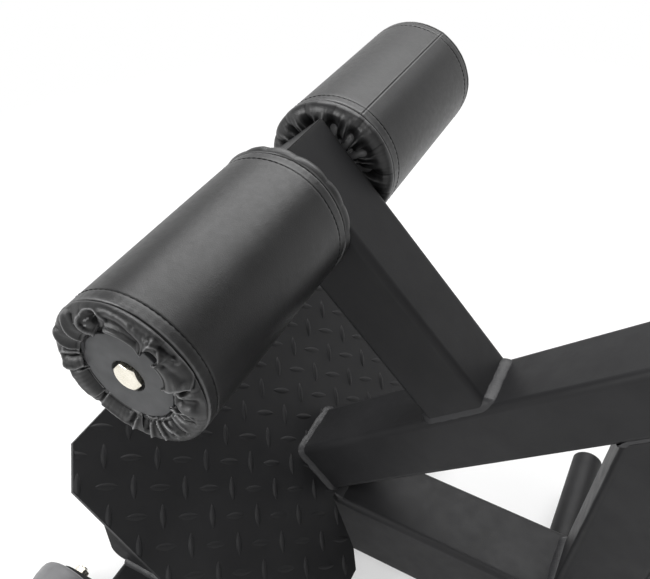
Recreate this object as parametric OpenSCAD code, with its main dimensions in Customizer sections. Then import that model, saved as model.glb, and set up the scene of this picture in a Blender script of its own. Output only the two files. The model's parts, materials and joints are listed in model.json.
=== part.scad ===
// Hyperextension bench: an inclined rail on a floor base, with ankle rollers and
// a tread plate at its low end and sliding hip pads at its high end.
// Millimetres, +Z up, +X towards the hip pads, -Y is the near side.
// The origin is on the floor, in the middle of the bench's bounding box.
// Shapes are placed from the toe point, where the top of the rail meets the
// front face of the footplate.

/* [Base] */
// Width of the base tube
base_w = 70; // [50:1:90]
// Height of the base tube
base_h = 80; // [60:1:85]
// Wall of the base tube
base_wall = 3; // [2:0.5:5]
// Depth and height of the square crossbar tubes
crossbar_d = 60; // [45:1:60]
// Length of each crossbar
crossbar_len = 600; // [480:5:700]
// Wall of the frame tubes
tube_wall = 3; // [2:0.5:3]
// Outer corner radius of the tubes
tube_r = 6; // [4.5:0.5:8]
// From the toe point back to the rear face of the rear crossbar
rear_reach = 106; // [100:1:112]
// From the toe point forward to the front face of the front crossbar
front_reach = 750; // [740:5:850]
// Height of the rubber feet
foot_h = 10; // [9:0.5:14]
// Diameter of the rubber feet
foot_d = 46; // [40:1:50]
// From the ends of the crossbars to the middle of the feet
foot_inset = 36; // [30:1:60]
// Reach of the front flange to each side of the base tube
flange_reach = 33; // [30:1:45]

/* [Rail and posts] */
// Height of the toe point above the base tube
toe_rise = 43; // [42:1:50]
// Slope of the rail in degrees
rail_angle = 45; // [43:0.5:47]
// Width of the rail tube
rail_w = 60; // [58:1:66]
// Depth of the rail tube
rail_d = 55; // [53:1:57]
// Length of the rail tube
rail_len = 560; // [540:5:580]
// Distance of the front upright from the toe point
upright_x = 251; // [235:1:275]
// Depth of the front upright along the bench
upright_d = 60; // [50:1:65]
// Distance of the roller post from the footplate, along the rail
post_u = 162; // [150:1:180]
// Width of the roller post, across the bench
post_w = 55; // [50:1:58]
// Depth of the roller post, along the rail
post_d = 60; // [50:1:70]
// Height of the roller post above the rail
post_h = 235; // [215:1:260]

/* [Footplate] */
// Half of the width of the footplate
plate_half_w = 204; // [185:1:215]
// From the toe point to the top edge of the plate
plate_top = 164; // [150:1:180]
// From the toe point to the bottom edge of the plate
plate_bottom = 119; // [112:1:122]
// Thickness of the tread plate
plate_t = 4; // [3:0.5:6]
// Cut at the outer corners of the plate
plate_cut = 26; // [15:1:35]
// Cut at the inner corners of the wings
wing_cut = 14; // [8:1:20]
// Half of the notch's width at the bottom of the wings
notch_half_w = 57; // [50:1:70]

/* [Ankle rollers] */
// Diameter of the covered roller
roller_d = 101; // [94:1:104]
// Length of a roller between the end seams of its cover
roller_len = 162; // [140:1:175]
// How far each gathered end of the cover bulges past its seam
cover_bulge = 10; // [8:0.5:12]
// Thickness of the washer between post and roller
spacer_t = 1.5; // [1:0.5:3]
// Diameter of the washer between post and roller
spacer_d = 38; // [34:1:46]
// From the top of the post down to the roller axis
axis_drop = 31; // [28:1:40]
// Diameter of the roller axle
axle_d = 25; // [20:1:27]
// Outside diameter of the roller's core tube
core_d = 33; // [31:0.5:38]
// Number of pleats where the cover is gathered
pleats = 12; // [8:1:13]
// Diameter of the end discs
disc_d = 60; // [56:1:62]
// Thickness of the end discs
disc_t = 7; // [6.5:0.5:9]

/* [Hip pads] */
// Length of each hip pad along the rail
pad_len = 260; // [220:5:280]
// Width of each hip pad
pad_w = 150; // [140:1:180]
// Gap between the two hip pads
pad_gap = 60; // [40:1:80]
// Thickness of a hip pad at its crown
pad_t = 60; // [45:1:75]
// Thickness of the wooden pad boards
board_t = 12; // [9:0.5:18]
// From the rail's open end up to the middle of the pads
pad_rise = 190; // [185:1:210]
// From the outer pad bolts to the ends of the two tubes under the pads
cross_overhang = 25; // [22:1:30]

/* [Carriage] */
// Width of the inner tube
inner_w = 50; // [46:1:51]
// Depth of the inner tube
inner_d = 45; // [42:1:46]
// Wall of the inner tube
inner_wall = 2.5; // [2:0.5:3]
// Length of the inner tube inside the rail at rest
inner_hold = 200; // [190:5:220]
// Length of the inner tube outside the rail at rest
inner_show = 310; // [305:5:340]
// Step of the adjusting holes
adjust_step = 25; // [20:1:25]
// Number of steps to each side of the middle setting
adjust_steps = 4; // [2:1:4]
// From the rail's open end down to the pull pin
pin_inset = 35; // [30:1:45]
// Diameter of the pull pin
pin_d = 10; // [8:0.5:10]
// Travel of the pin into the tube
pin_travel = 8; // [6:0.5:9]
// Diameter of the pull knob
knob_d = 40; // [32:1:46]

/* [Handles] */
// Diameter of the handle bar
bar_d = 25; // [22:1:28]
// From the handle bar to the inner tube's free end
bar_inset = 25; // [20:1:28]
// Half of the straight cross length of the handle bar
bar_half = 200; // [180:1:220]
// Radius of the handle bar's bends
bar_bend = 40; // [35:1:50]
// Length of the rubber grips
grip_len = 110; // [100:1:130]
// Outside diameter of the rubber grips
grip_d = 33; // [31:0.5:38]

/* [Wheels and band pegs] */
// Diameter of the transport wheels
wheel_d = 64; // [54:1:68]
// Width of the transport wheels
wheel_w = 24; // [18:1:28]
// From the toe point back to the wheel axle
wheel_back = 150; // [146:1:158]
// From the ends of the rear crossbar to the wheels' middle planes
wheel_inset = 85; // [70:1:100]
// Diameter of the band pegs
peg_d = 30; // [25:1:38]
// Length of the band pegs
peg_len = 124; // [80:1:150]
// From the toe point forward to the band pegs
peg_x = 252; // [245:1:270]

/* [Hidden] */
$fn = 48;

// Cut length that passes through anything it has to
past = 200;
// Running clearance of a round part that turns or slides in a bore
run_gap = 0.08;
// Clearance of the sliding tube in its plastic guides, each side
slide_gap = 0.12;
// Clearance between a soft piece and what it must not touch
soft_gap = 0.5;
// Clearance of a bolt in its hole, on the radius
bolt_gap = 0.25;

// Heights above the floor
base_top = foot_h + base_h;
crossbar_mid_z = foot_h + crossbar_d / 2;
toe_z = base_top + toe_rise;
// Distances from the toe point along the bench
rear_mid_x = -rear_reach + crossbar_d / 2;
front_mid_x = front_reach - crossbar_d / 2;
// The origin lies midway between the rear wheels and the front crossbar
toe_x = -(front_reach - wheel_back - wheel_d / 2) / 2;

// Front flange and its bolts
flange_t = 6;
flange_w = base_w + 2 * flange_reach;
flange_bolt_y = (base_w + flange_reach) / 2;
m10_r = 5;
m10_head_r = 9.8;
m10_head_h = 6.4;
m10_nut_h = 8;

// Plastic plugs of the open tube ends
plug_t = 3;
plug_depth = 22;

// Rubber feet and their screws
foot_y = crossbar_len / 2 - foot_inset;
foot_taper = 3;
foot_recess_r = 9;
foot_recess_h = 6;
screw_r = 3;
screw_head_r = 6.5;
screw_head_h = 4.5;
screw_len = 14;

// Footplate: the notch starts where the plate's back edge sits on the base tube
notch_top = (toe_rise - plate_t * sin(rail_angle)) / cos(rail_angle);
notch_top_half_w = base_w / 2 + 1;

// Supports behind the wings of the footplate
support_t = 5;
support_y = 171.5;
support_out = 13;
support_rise = 70;
support_r = 12;

// Roller axis, measured from the toe point along and square to the rail
axis_u = post_u + post_d / 2;
axis_n = post_h - axis_drop;
// Inner and outer end seam of a roller's cover, from the middle of the bench
roller_in = post_w / 2 + spacer_t + cover_bulge + 1;
roller_out = roller_in + roller_len;
disc_face = roller_out + 3;
axle_end = disc_face - disc_t;
disc_recess_r = 11;
disc_recess_h = 4.5;
axle_bolt_r = 5;
axle_bolt_head_r = 9.8;
axle_bolt_head_h = 6.4;
axle_bolt_len = 30;
axle_bolt_shank = axle_bolt_len - disc_recess_h;
cover_t = 1.8;
sectors = pleats * 5;
foam_r = (roller_d / 2 - cover_t) * cos(180 / sectors);

// Rail centre line below the rail's top face
rail_mid_n = -rail_d / 2;
liner_len = 88;
liner_flange = 2.5;
glide_len = 30;
inner_start = rail_len - inner_hold;
inner_end = rail_len + inner_show;
pin_u = rail_len - pin_inset;
pad_u = rail_len + pad_rise;
inner_top = rail_mid_n + inner_d / 2;
adjust_hole_r = pin_d / 2 + 0.6;

// Pull pin: places along -Y, measured outwards from the middle of the bench
pin_tip = inner_w / 2 + 0.7;
barrel_r = 12;
barrel_nose_r = pin_d / 2 + 1.9;
barrel_start = rail_w / 2;
barrel_end = barrel_start + 27;
cavity_r = pin_d / 2 + 3;
cavity_start = barrel_start + 3;
cavity_end = barrel_end - 3;
collar_t = 2;
collar_start = cavity_start + pin_travel + 0.2;
knob_start = barrel_end + pin_travel + 0.6;
knob_end = knob_start + 30;

// Pads and the tubes that carry them
cross_d = 40;
cross_h = 30;
cross_wall = 2.5;
cross_pitch = 100;
cross_top = inner_top + cross_h;
pad_y = pad_gap / 2 + pad_w / 2;
pad_n = cross_top + board_t;
board_inset = 6;
board_r = 28;
pad_bolt_r = 4;
pad_bolt_head_r = 7;
pad_bolt_head_h = 4.5;
pad_bolt_y = 35;
cross_len = 2 * (pad_y + pad_bolt_y + cross_overhang);
cross_plug_depth = 16;
// Half of the flat middle of a pad, up to where its top begins to round off
pad_round = 48;

// Handle bar
bar_u = inner_end - bar_inset;
bar_wall = 2.5;
bar_straight = grip_len + 6;

// Transport wheels
ear_t = 4;
ear_gap = 1;
ear_r = 16;
hub_r = 11;
wheel_bolt_r = 4;
wheel_bolt_head_r = 7.5;
wheel_bolt_head_h = 5.3;
wheel_nut_h = 8;
wheel_clear = 5;
wheel_y = crossbar_len / 2 - wheel_inset;
wheel_z = wheel_d / 2 + wheel_clear;

// Band pegs
peg_wall = 3;
peg_z = foot_h + base_h / 2;
peg_cap_t = 4;

// Colours, as photographed
steel_black = "#26272a";
leather_black = "#1d1d1f";
plastic_black = "#161617";
rubber_black = "#202021";
plated = "#d8cf9a";
bare_steel = "#9a9ca0";
wheel_grey = "#9c9c9e";
wood_brown = "#a67c4e";
foam_grey = "#55565a";

// Places

// Distances from the toe point, level with the bench
module at_toe() {
    translate([toe_x, 0, 0])
        children();
}

// Local X runs up the rail, local Z stands square on the rail's top face
module on_rail() {
    translate([toe_x, 0, toe_z])
        rotate([0, -rail_angle, 0])
            children();
}

// The roller axis, with local Z pointing outwards on the side given
module on_roller_axis(side) {
    on_rail()
        translate([axis_u, 0, axis_n])
            rotate([-90 * side, 0, 0])
                children();
}

// A wheel's axis, with local Z pointing outwards on the side given
module on_wheel_axis(side) {
    at_toe()
        translate([-wheel_back, side * wheel_y, wheel_z])
            rotate([-90 * side, 0, 0])
                children();
}

// General shapes

module round_rect(a, b, r) {
    union() {
        square([a - 2 * r, b], center = true);
        square([a, b - 2 * r], center = true);
        for (sx = [-1, 1])
            for (sy = [-1, 1])
                translate([sx * (a / 2 - r), sy * (b / 2 - r)])
                    circle(r);
    }
}

// Square or rectangular tube along Z
module box_tube(a, b, wall, r, len) {
    difference() {
        linear_extrude(len)
            round_rect(a, b, r);
        translate([0, 0, -1])
            linear_extrude(len + 2)
                round_rect(a - 2 * wall, b - 2 * wall, r - wall);
    }
}

// Plastic plug in the open end of such a tube, its flange above z = 0
module tube_plug(a, b, wall, r, depth = plug_depth) {
    union() {
        linear_extrude(plug_t - 1)
            round_rect(a, b, r);
        translate([0, 0, plug_t - 1])
            linear_extrude(1)
                round_rect(a - 2, b - 2, r - 1);
        difference() {
            translate([0, 0, -depth])
                linear_extrude(depth)
                    round_rect(a - 2 * wall, b - 2 * wall, r - wall);
            translate([0, 0, -depth - 1])
                linear_extrude(depth)
                    square([a - 2 * wall - 5, b - 2 * wall - 5], center = true);
        }
    }
}

// Round tube along Z
module pipe(outer_r, inner_r, len) {
    difference() {
        cylinder(h = len, r = outer_r);
        translate([0, 0, -1])
            cylinder(h = len + 2, r = inner_r);
    }
}

// Hexagon bolt: head below z = 0, shank above it
module hex_bolt(shank_r, len, head_r, head_h) {
    union() {
        translate([0, 0, -head_h])
            cylinder(h = head_h, r = head_r, $fn = 6);
        translate([0, 0, -0.01])
            cylinder(h = len + 0.01, r = shank_r);
    }
}

module hex_nut(bore_r, nut_r, height) {
    difference() {
        cylinder(h = height, r = nut_r, $fn = 6);
        translate([0, 0, -1])
            cylinder(h = height + 2, r = bore_r);
    }
}

// Skin over a stack of rings with the same number of points, closed at both ends
module ring_loft(rings) {
    n = len(rings[0]);
    k = len(rings);
    low = [for (axis = [0:2]) sum_of([for (p = rings[0]) p[axis]]) / n];
    high = [for (axis = [0:2]) sum_of([for (p = rings[k - 1]) p[axis]]) / n];
    points = concat([for (ring = rings) each ring], [low, high]);
    sides = [for (i = [0:k - 2]) for (j = [0:n - 1]) each [
        [i * n + j, (i + 1) * n + j, i * n + (j + 1) % n],
        [(i + 1) * n + j, (i + 1) * n + (j + 1) % n, i * n + (j + 1) % n]
    ]];
    bottom = [for (j = [0:n - 1]) [k * n, j, (j + 1) % n]];
    top = [for (j = [0:n - 1]) [k * n + 1, (k - 1) * n + (j + 1) % n, (k - 1) * n + j]];
    polyhedron(points, concat(sides, bottom, top));
}

// Skin over a closed loop of rings, as on a sleeve
module ring_sleeve(rings) {
    n = len(rings[0]);
    k = len(rings);
    points = [for (ring = rings) each ring];
    faces = [for (i = [0:k - 1]) for (j = [0:n - 1]) each [
        [i * n + j, ((i + 1) % k) * n + j, i * n + (j + 1) % n],
        [((i + 1) % k) * n + j, ((i + 1) % k) * n + (j + 1) % n, i * n + (j + 1) % n]
    ]];
    polyhedron(points, faces);
}

function sum_of(list, i = 0) = i < len(list) ? list[i] + sum_of(list, i + 1) : 0;

// Base

module base_tube() {
    rear = -rear_reach + crossbar_d;
    front = front_reach - crossbar_d - flange_t;
    color(steel_black)
        at_toe()
            translate([rear, 0, foot_h + base_h / 2])
                rotate([0, 90, 0])
                    union() {
                        box_tube(base_h, base_w, base_wall, tube_r, front - rear);
                        linear_extrude(base_wall)
                            round_rect(base_h, base_w, tube_r);
                    }
}

module crossbar(x) {
    color(steel_black)
        at_toe()
            translate([x, -crossbar_len / 2, crossbar_mid_z])
                rotate([-90, 0, 0])
                    difference() {
                        box_tube(crossbar_d, crossbar_d, tube_wall, tube_r, crossbar_len);
                        for (end = [-1, 1])
                            translate([0, crossbar_d / 2, crossbar_len / 2 + end * foot_y])
                                rotate([90, 0, 0])
                                    cylinder(h = 2 * tube_wall, r = screw_r + bolt_gap, center = true);
                        if (x > 0)
                            for (end = [-1, 1])
                                translate([-crossbar_d / 2, 0, crossbar_len / 2 + end * flange_bolt_y])
                                    rotate([0, 90, 0])
                                        cylinder(h = 2 * tube_wall, r = m10_r + bolt_gap, center = true);
                    }
}

module rear_crossbar() crossbar(rear_mid_x);

module front_crossbar() crossbar(front_mid_x);

module front_flange() {
    color(steel_black)
        at_toe()
            translate([front_reach - crossbar_d - flange_t, 0, foot_h + base_h / 2])
                rotate([0, 90, 0])
                    difference() {
                        linear_extrude(flange_t)
                            round_rect(base_h, flange_w, tube_r);
                        for (end = [-1, 1])
                            translate([(base_h - crossbar_d) / 2, end * flange_bolt_y, -1])
                                cylinder(h = flange_t + 2, r = m10_r + bolt_gap);
                    }
}

module at_flange_bolts(x) {
    at_toe()
        for (end = [-1, 1])
            translate([x, end * flange_bolt_y, crossbar_mid_z])
                rotate([0, 90, 0])
                    children();
}

module flange_bolts() {
    color(plated)
        at_flange_bolts(front_reach - crossbar_d - flange_t)
            hex_bolt(m10_r, flange_t + tube_wall + m10_nut_h + 4, m10_head_r, m10_head_h);
}

module flange_nuts() {
    color(plated)
        at_flange_bolts(front_reach - crossbar_d + tube_wall)
            hex_nut(m10_r, m10_head_r, m10_nut_h);
}

module crossbar_cap(x, side) {
    color(plastic_black)
        at_toe()
            translate([x, side * crossbar_len / 2, crossbar_mid_z])
                rotate([-90 * side, 0, 0])
                    tube_plug(crossbar_d, crossbar_d, tube_wall, tube_r);
}

module rear_cap_near() crossbar_cap(rear_mid_x, -1);

module rear_cap_far() crossbar_cap(rear_mid_x, 1);

module front_cap_near() crossbar_cap(front_mid_x, -1);

module front_cap_far() crossbar_cap(front_mid_x, 1);

module rubber_foot(x, side) {
    r = foot_d / 2;
    color(rubber_black)
        at_toe()
            translate([x, side * foot_y, 0])
                rotate_extrude()
                    polygon([
                        [foot_recess_r, 0], [r - 1.5, 0], [r, 1.5], [r - foot_taper, foot_h],
                        [screw_r + bolt_gap, foot_h], [screw_r + bolt_gap, foot_recess_h],
                        [foot_recess_r, foot_recess_h]
                    ]);
}

module foot_rear_near() rubber_foot(rear_mid_x, -1);

module foot_rear_far() rubber_foot(rear_mid_x, 1);

module foot_front_near() rubber_foot(front_mid_x, -1);

module foot_front_far() rubber_foot(front_mid_x, 1);

// A raised head with a hexagon socket, in the recess of each foot
module foot_screws() {
    color(plated)
        at_toe()
            for (x = [rear_mid_x, front_mid_x])
                for (side = [-1, 1])
                    translate([x, side * foot_y, foot_recess_h])
                        difference() {
                            union() {
                                translate([0, 0, -screw_head_h])
                                    cylinder(h = screw_head_h, r = screw_head_r);
                                cylinder(h = screw_len, r = screw_r);
                            }
                            translate([0, 0, -screw_head_h - 1])
                                cylinder(h = 3.5, r = 2.9, $fn = 6);
                        }
}

// Rail and posts

module main_rail() {
    color(steel_black)
        on_rail()
            difference() {
                translate([0, 0, rail_mid_n])
                    rotate([0, 90, 0])
                        box_tube(rail_d, rail_w, tube_wall, tube_r, rail_len);
                translate([pin_u, -rail_w / 2 - 1, rail_mid_n])
                    rotate([-90, 0, 0])
                        cylinder(h = tube_wall + 2, r = barrel_nose_r + 0.02);
            }
}

// Plastic sleeve that guides the inner tube, with a flange on the rail's end
module rail_liner() {
    outer_a = rail_d - 2 * tube_wall;
    outer_b = rail_w - 2 * tube_wall;
    inner_a = inner_d + 2 * slide_gap;
    inner_b = inner_w + 2 * slide_gap;
    color(plastic_black)
        on_rail()
            difference() {
                translate([rail_len - liner_len, 0, rail_mid_n])
                    rotate([0, 90, 0])
                        difference() {
                            union() {
                                linear_extrude(liner_len)
                                    round_rect(outer_a, outer_b, tube_r - tube_wall);
                                translate([0, 0, liner_len])
                                    linear_extrude(liner_flange)
                                        round_rect(rail_d, rail_w, tube_r);
                            }
                            translate([0, 0, -1])
                                linear_extrude(liner_len + liner_flange + 2)
                                    round_rect(inner_a, inner_b, 2 + slide_gap);
                        }
                translate([pin_u, -rail_w / 2, rail_mid_n])
                    rotate([-90, 0, 0])
                        cylinder(h = rail_w / 2 - inner_w / 4, r = pin_d / 2 + 0.6);
            }
}

module upright() {
    slope_cut = 4 * upright_d;
    color(steel_black)
        difference() {
            at_toe()
                translate([upright_x + upright_d / 2, 0, base_top])
                    box_tube(upright_d, rail_w, tube_wall, tube_r, 2 * upright_x);
            on_rail()
                translate([0, -past, -rail_d])
                    cube([4 * upright_x, 2 * past, slope_cut * 2]);
        }
}

module roller_post() {
    color(steel_black)
        difference() {
            on_rail()
                translate([axis_u, 0, 0])
                    box_tube(post_d, post_w, tube_wall, tube_r, post_h);
            on_roller_axis(1)
                cylinder(h = post_w + 2, r = axle_d / 2 + 0.02, center = true);
        }
}

module post_cap() {
    color(plastic_black)
        on_rail()
            translate([axis_u, 0, post_h])
                difference() {
                    tube_plug(post_d, post_w, tube_wall, tube_r);
                    translate([0, 0, -axis_drop])
                        rotate([90, 0, 0])
                            cylinder(h = post_w + 2, r = axle_d / 2 + 1, center = true);
                }
}

// Footplate and what carries it

// One wing's outline: x across the bench, y square to the rail
module wing_outline() {
    polygon([
        [0, -notch_top], [notch_top_half_w, -notch_top],
        [notch_half_w, wing_cut - plate_bottom],
        [notch_half_w + wing_cut, -plate_bottom],
        [plate_half_w - plate_cut, -plate_bottom],
        [plate_half_w, plate_cut - plate_bottom],
        [plate_half_w, plate_top - plate_cut],
        [plate_half_w - plate_cut, plate_top],
        [0, plate_top]
    ]);
}

module footplate() {
    color(steel_black)
        on_rail()
            rotate([90, 0, -90])
                linear_extrude(plate_t)
                    union() {
                        wing_outline();
                        mirror([1, 0])
                            wing_outline();
                    }
}

// Upright sheet between the rear crossbar and the back of a wing. Seen from the
// near side its lower rear corner is round, and its top slopes up to the plate
module wing_support(side) {
    low = foot_h + crossbar_d - toe_z;
    high = low + support_rise;
    rear = -rear_reach - support_out;
    slope = 35;
    color(steel_black)
        translate([toe_x, side * support_y + support_t / 2, toe_z])
            rotate([90, 0, 0])
                linear_extrude(support_t)
                    difference() {
                        union() {
                            translate([rear + support_r, low + support_r])
                                circle(support_r);
                            translate([rear + support_r, low])
                                square([-rear - support_r - rear_reach + crossbar_d, past]);
                            translate([rear, low + support_r])
                                square([support_r + 1, past]);
                            polygon([
                                [-rear_reach + crossbar_d, low], [0, low / 8],
                                [0, past], [-rear_reach + crossbar_d, past]
                            ]);
                        }
                        rotate(rail_angle)
                            translate([-plate_t, -2 * past])
                                square([2 * past, 4 * past]);
                        translate([rear, high])
                            rotate(slope)
                                translate([-past, 0])
                                    square([3 * past, 2 * past]);
                    }
}

module wing_support_near() wing_support(-1);

module wing_support_far() wing_support(1);

// Band pegs

module band_peg(side) {
    color(steel_black)
        at_toe()
            translate([peg_x, side * base_w / 2, peg_z])
                rotate([-90 * side, 0, 0])
                    pipe(peg_d / 2, peg_d / 2 - peg_wall, peg_len - peg_cap_t);
}

module band_peg_near() band_peg(-1);

module band_peg_far() band_peg(1);

module peg_plugs() {
    r = peg_d / 2;
    color(plastic_black)
        at_toe()
            for (side = [-1, 1])
                translate([peg_x, side * (base_w / 2 + peg_len - peg_cap_t), peg_z])
                    rotate([-90 * side, 0, 0])
                        rotate_extrude()
                            polygon([
                                [0, -15], [r - peg_wall, -15], [r - peg_wall, 0], [r, 0],
                                [r, peg_cap_t - 1.5], [r - 1.5, peg_cap_t], [0, peg_cap_t]
                            ]);
}

// Ankle rollers

module roller_axle() {
    color(bare_steel)
        on_roller_axis(1)
            difference() {
                cylinder(h = 2 * axle_end, r = axle_d / 2, center = true);
                for (end = [-1, 1])
                    translate([0, 0, end * axle_end])
                        cylinder(h = 2 * axle_bolt_len, r = axle_bolt_r + bolt_gap, center = true);
            }
}

// Pressed disc with a recess round the bolt's head
module end_disc(side) {
    r = disc_d / 2;
    color(bare_steel)
        on_roller_axis(side)
            translate([0, 0, axle_end])
                rotate_extrude()
                    polygon([
                        [axle_bolt_r + bolt_gap, 0], [disc_recess_r + 2, 0],
                        [disc_recess_r + 3.5, disc_t - 3.5], [r - 1, disc_t - 3.5],
                        [r, disc_t - 2.5], [r, disc_t - 1], [r - 1, disc_t],
                        [disc_recess_r, disc_t], [disc_recess_r - 0.5, disc_t - disc_recess_h],
                        [axle_bolt_r + bolt_gap, disc_t - disc_recess_h]
                    ]);
}

module end_disc_near() end_disc(-1);

module end_disc_far() end_disc(1);

module axle_bolts() {
    color(plated)
        for (side = [-1, 1])
            on_roller_axis(side)
                translate([0, 0, disc_face - disc_recess_h])
                    mirror([0, 0, 1])
                        hex_bolt(axle_bolt_r, axle_bolt_shank, axle_bolt_head_r, axle_bolt_head_h);
}

module roller_spacers() {
    color(plastic_black)
        for (side = [-1, 1])
            on_roller_axis(side)
                translate([0, 0, post_w / 2])
                    pipe(spacer_d / 2, axle_d / 2 + 0.02, spacer_t);
}

module roller_core(side) {
    start = post_w / 2 + spacer_t + 0.3;
    color(plastic_black)
        on_roller_axis(side)
            translate([0, 0, start])
                pipe(core_d / 2, axle_d / 2 + run_gap, axle_end - 0.3 - start);
}

module roller_core_near() roller_core(-1);

module roller_core_far() roller_core(1);

// Foam sleeve with a round seat for the end disc
module roller_foam(side) {
    seat_r = disc_d / 2 + soft_gap + 3;
    seat = axle_end - 0.4;
    color(foam_grey)
        on_roller_axis(side)
            rotate_extrude()
                polygon([
                    [core_d / 2, roller_in - 2.4], [foam_r, roller_in - 2.4],
                    [foam_r, roller_out + 1.2], [seat_r, roller_out + 1.2],
                    [seat_r, seat], [core_d / 2, seat]
                ]);
}

module roller_foam_near() roller_foam(-1);

module roller_foam_far() roller_foam(1);

// How far a pleat stands up at an angle: deep folds with smaller ones between
function pleat(a) = 0.75 * cos(pleats * a) + 0.25 * cos(2 * pleats * a + 70);

// One ring of the cover: radius, height along the axis, and how much the
// pleats move each of them
function cover_ring(r, z, pleat_r, pleat_z) = [
    for (j = [0:sectors - 1])
        let (a = j * 360 / sectors, p = pleat(a))
            [(r + pleat_r * p) * cos(a), (r + pleat_r * p) * sin(a), z + pleat_z * p]
];

// Leather sleeve between its two end seams, with gathered ends. Each end bulges
// past its seam, the inner one beside the post and the outer one round the disc
module roller_cover(side) {
    r = roller_d / 2;
    hole = disc_d / 2 + 2 * soft_gap;
    inner_hole = spacer_d / 2 + 5;
    in_r = r - cover_t;
    near = -cover_bulge;
    far = roller_len + cover_bulge;
    rings = [
        cover_ring(inner_hole, near + 7, 0.8, 0.5),
        cover_ring(inner_hole + 4.5, near + 1.8, 0.9, 0.8),
        cover_ring(r - 14, near + 1, 0.9, 0.9),
        cover_ring(r - 7, near + 1.6, 0.8, 0.8),
        cover_ring(r - 2.6, near + 4.2, 0.5, 0.5),
        cover_ring(r - 0.6, near + 7.4, 0.2, 0.2),
        cover_ring(r - 0.3, 1, 0, 0),
        cover_ring(r, roller_len / 2, 0, 0),
        cover_ring(r - 0.3, roller_len - 1, 0, 0),
        cover_ring(r - 0.6, far - 7.4, 0.2, 0.2),
        cover_ring(r - 2.6, far - 4.2, 0.5, 0.5),
        cover_ring(r - 7, far - 1.8, 0.8, 0.8),
        cover_ring(hole + 8, far - 1.2, 1, 1),
        cover_ring(hole + 3.4, far - 3.6, 1, 0.9),
        cover_ring(hole + 1.2, far - 7, 0.6, 0.4),
        cover_ring(hole + 2.4, far - 8.4, 0, 0),
        cover_ring(in_r, far - 8.4, 0, 0),
        cover_ring(in_r, near + 7, 0, 0),
        cover_ring(inner_hole + 3, near + 6, 0, 0)
    ];
    color(leather_black)
        on_roller_axis(side)
            translate([0, 0, roller_in])
                ring_sleeve(rings);
}

module roller_cover_near() roller_cover(-1);

module roller_cover_far() roller_cover(1);

// Transport wheels

module wheel(side) {
    r = wheel_d / 2;
    half = wheel_w / 2;
    color(wheel_grey)
        on_wheel_axis(side)
            rotate_extrude()
                polygon([
                    [wheel_bolt_r + run_gap, -half], [hub_r, -half], [hub_r + 1, 4 - half],
                    [r - 10, 4 - half], [r - 8, -half], [r - 5, -half], [r - 2.4, 1.4 - half],
                    [r - 0.7, 4 - half], [r, 8 - half], [r, half - 8], [r - 0.7, half - 4],
                    [r - 2.4, half - 1.4], [r - 5, half], [r - 8, half], [r - 10, half - 4],
                    [hub_r + 1, half - 4], [hub_r, half], [wheel_bolt_r + run_gap, half]
                ]);
}

module wheel_near() wheel(-1);

module wheel_far() wheel(1);

// Two round-ended ears, welded square on the rear face of the crossbar
module wheel_fork(side) {
    reach = wheel_back - rear_reach;
    color(steel_black)
        on_wheel_axis(side)
            for (end = [-1, 1])
                translate([0, 0, end * (wheel_w / 2 + ear_gap + ear_t / 2) - ear_t / 2])
                    difference() {
                        union() {
                            cylinder(h = ear_t, r = ear_r);
                            translate([0, -ear_r, 0])
                                cube([reach, 2 * ear_r, ear_t]);
                        }
                        translate([0, 0, -1])
                            cylinder(h = ear_t + 2, r = wheel_bolt_r + bolt_gap);
                    }
}

module wheel_fork_near() wheel_fork(-1);

module wheel_fork_far() wheel_fork(1);

module wheel_bolts() {
    span = wheel_w / 2 + ear_gap + ear_t;
    shank = 2 * span + wheel_nut_h + 2;
    color(plated)
        for (side = [-1, 1])
            on_wheel_axis(side)
                translate([0, 0, span])
                    mirror([0, 0, 1])
                        hex_bolt(wheel_bolt_r, shank, wheel_bolt_head_r, wheel_bolt_head_h);
}

module wheel_nuts() {
    span = wheel_w / 2 + ear_gap + ear_t;
    color(plated)
        for (side = [-1, 1])
            on_wheel_axis(side)
                translate([0, 0, -span - wheel_nut_h])
                    hex_nut(wheel_bolt_r, wheel_bolt_head_r, wheel_nut_h);
}

// Pull pin

// Local Z points outwards on the near side, from the middle of the rail
module on_pin_axis() {
    on_rail()
        translate([pin_u, 0, rail_mid_n])
            rotate([90, 0, 0])
                children();
}

// Threaded into the rail's near wall, with a hollow for the collar and spring
module pin_barrel() {
    bore = pin_d / 2 + run_gap;
    nose = barrel_start - tube_wall;
    color(bare_steel)
        on_pin_axis()
            rotate_extrude()
                polygon([
                    [bore, nose], [barrel_nose_r, nose], [barrel_nose_r, barrel_start],
                    [barrel_r, barrel_start], [barrel_r, barrel_end - 2],
                    [barrel_r - 2, barrel_end], [bore, barrel_end], [bore, cavity_end],
                    [cavity_r, cavity_end], [cavity_r, cavity_start], [bore, cavity_start]
                ]);
}

module pull_pin() {
    r = pin_d / 2;
    color(bare_steel)
        on_pin_axis()
            rotate_extrude()
                polygon([
                    [0, pin_tip], [r - 1.2, pin_tip], [r, pin_tip + 1.2],
                    [r, collar_start], [cavity_r - 0.3, collar_start],
                    [cavity_r - 0.3, collar_start + collar_t], [r, collar_start + collar_t],
                    [r, knob_end - 8], [0, knob_end - 8]
                ]);
}

module pull_knob() {
    r = knob_d / 2;
    neck = r * 0.62;
    color(plastic_black)
        on_pin_axis()
            difference() {
                rotate_extrude()
                    polygon([
                        [0, knob_start], [neck, knob_start], [neck - 1, knob_start + 8],
                        [r - 3, knob_start + 14], [r, knob_start + 18], [r, knob_start + 23],
                        [r - 2.5, knob_end - 2.5], [r - 7, knob_end], [0, knob_end]
                    ]);
                cylinder(h = knob_end - 8, r = pin_d / 2);
            }
}

// Carriage

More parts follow.
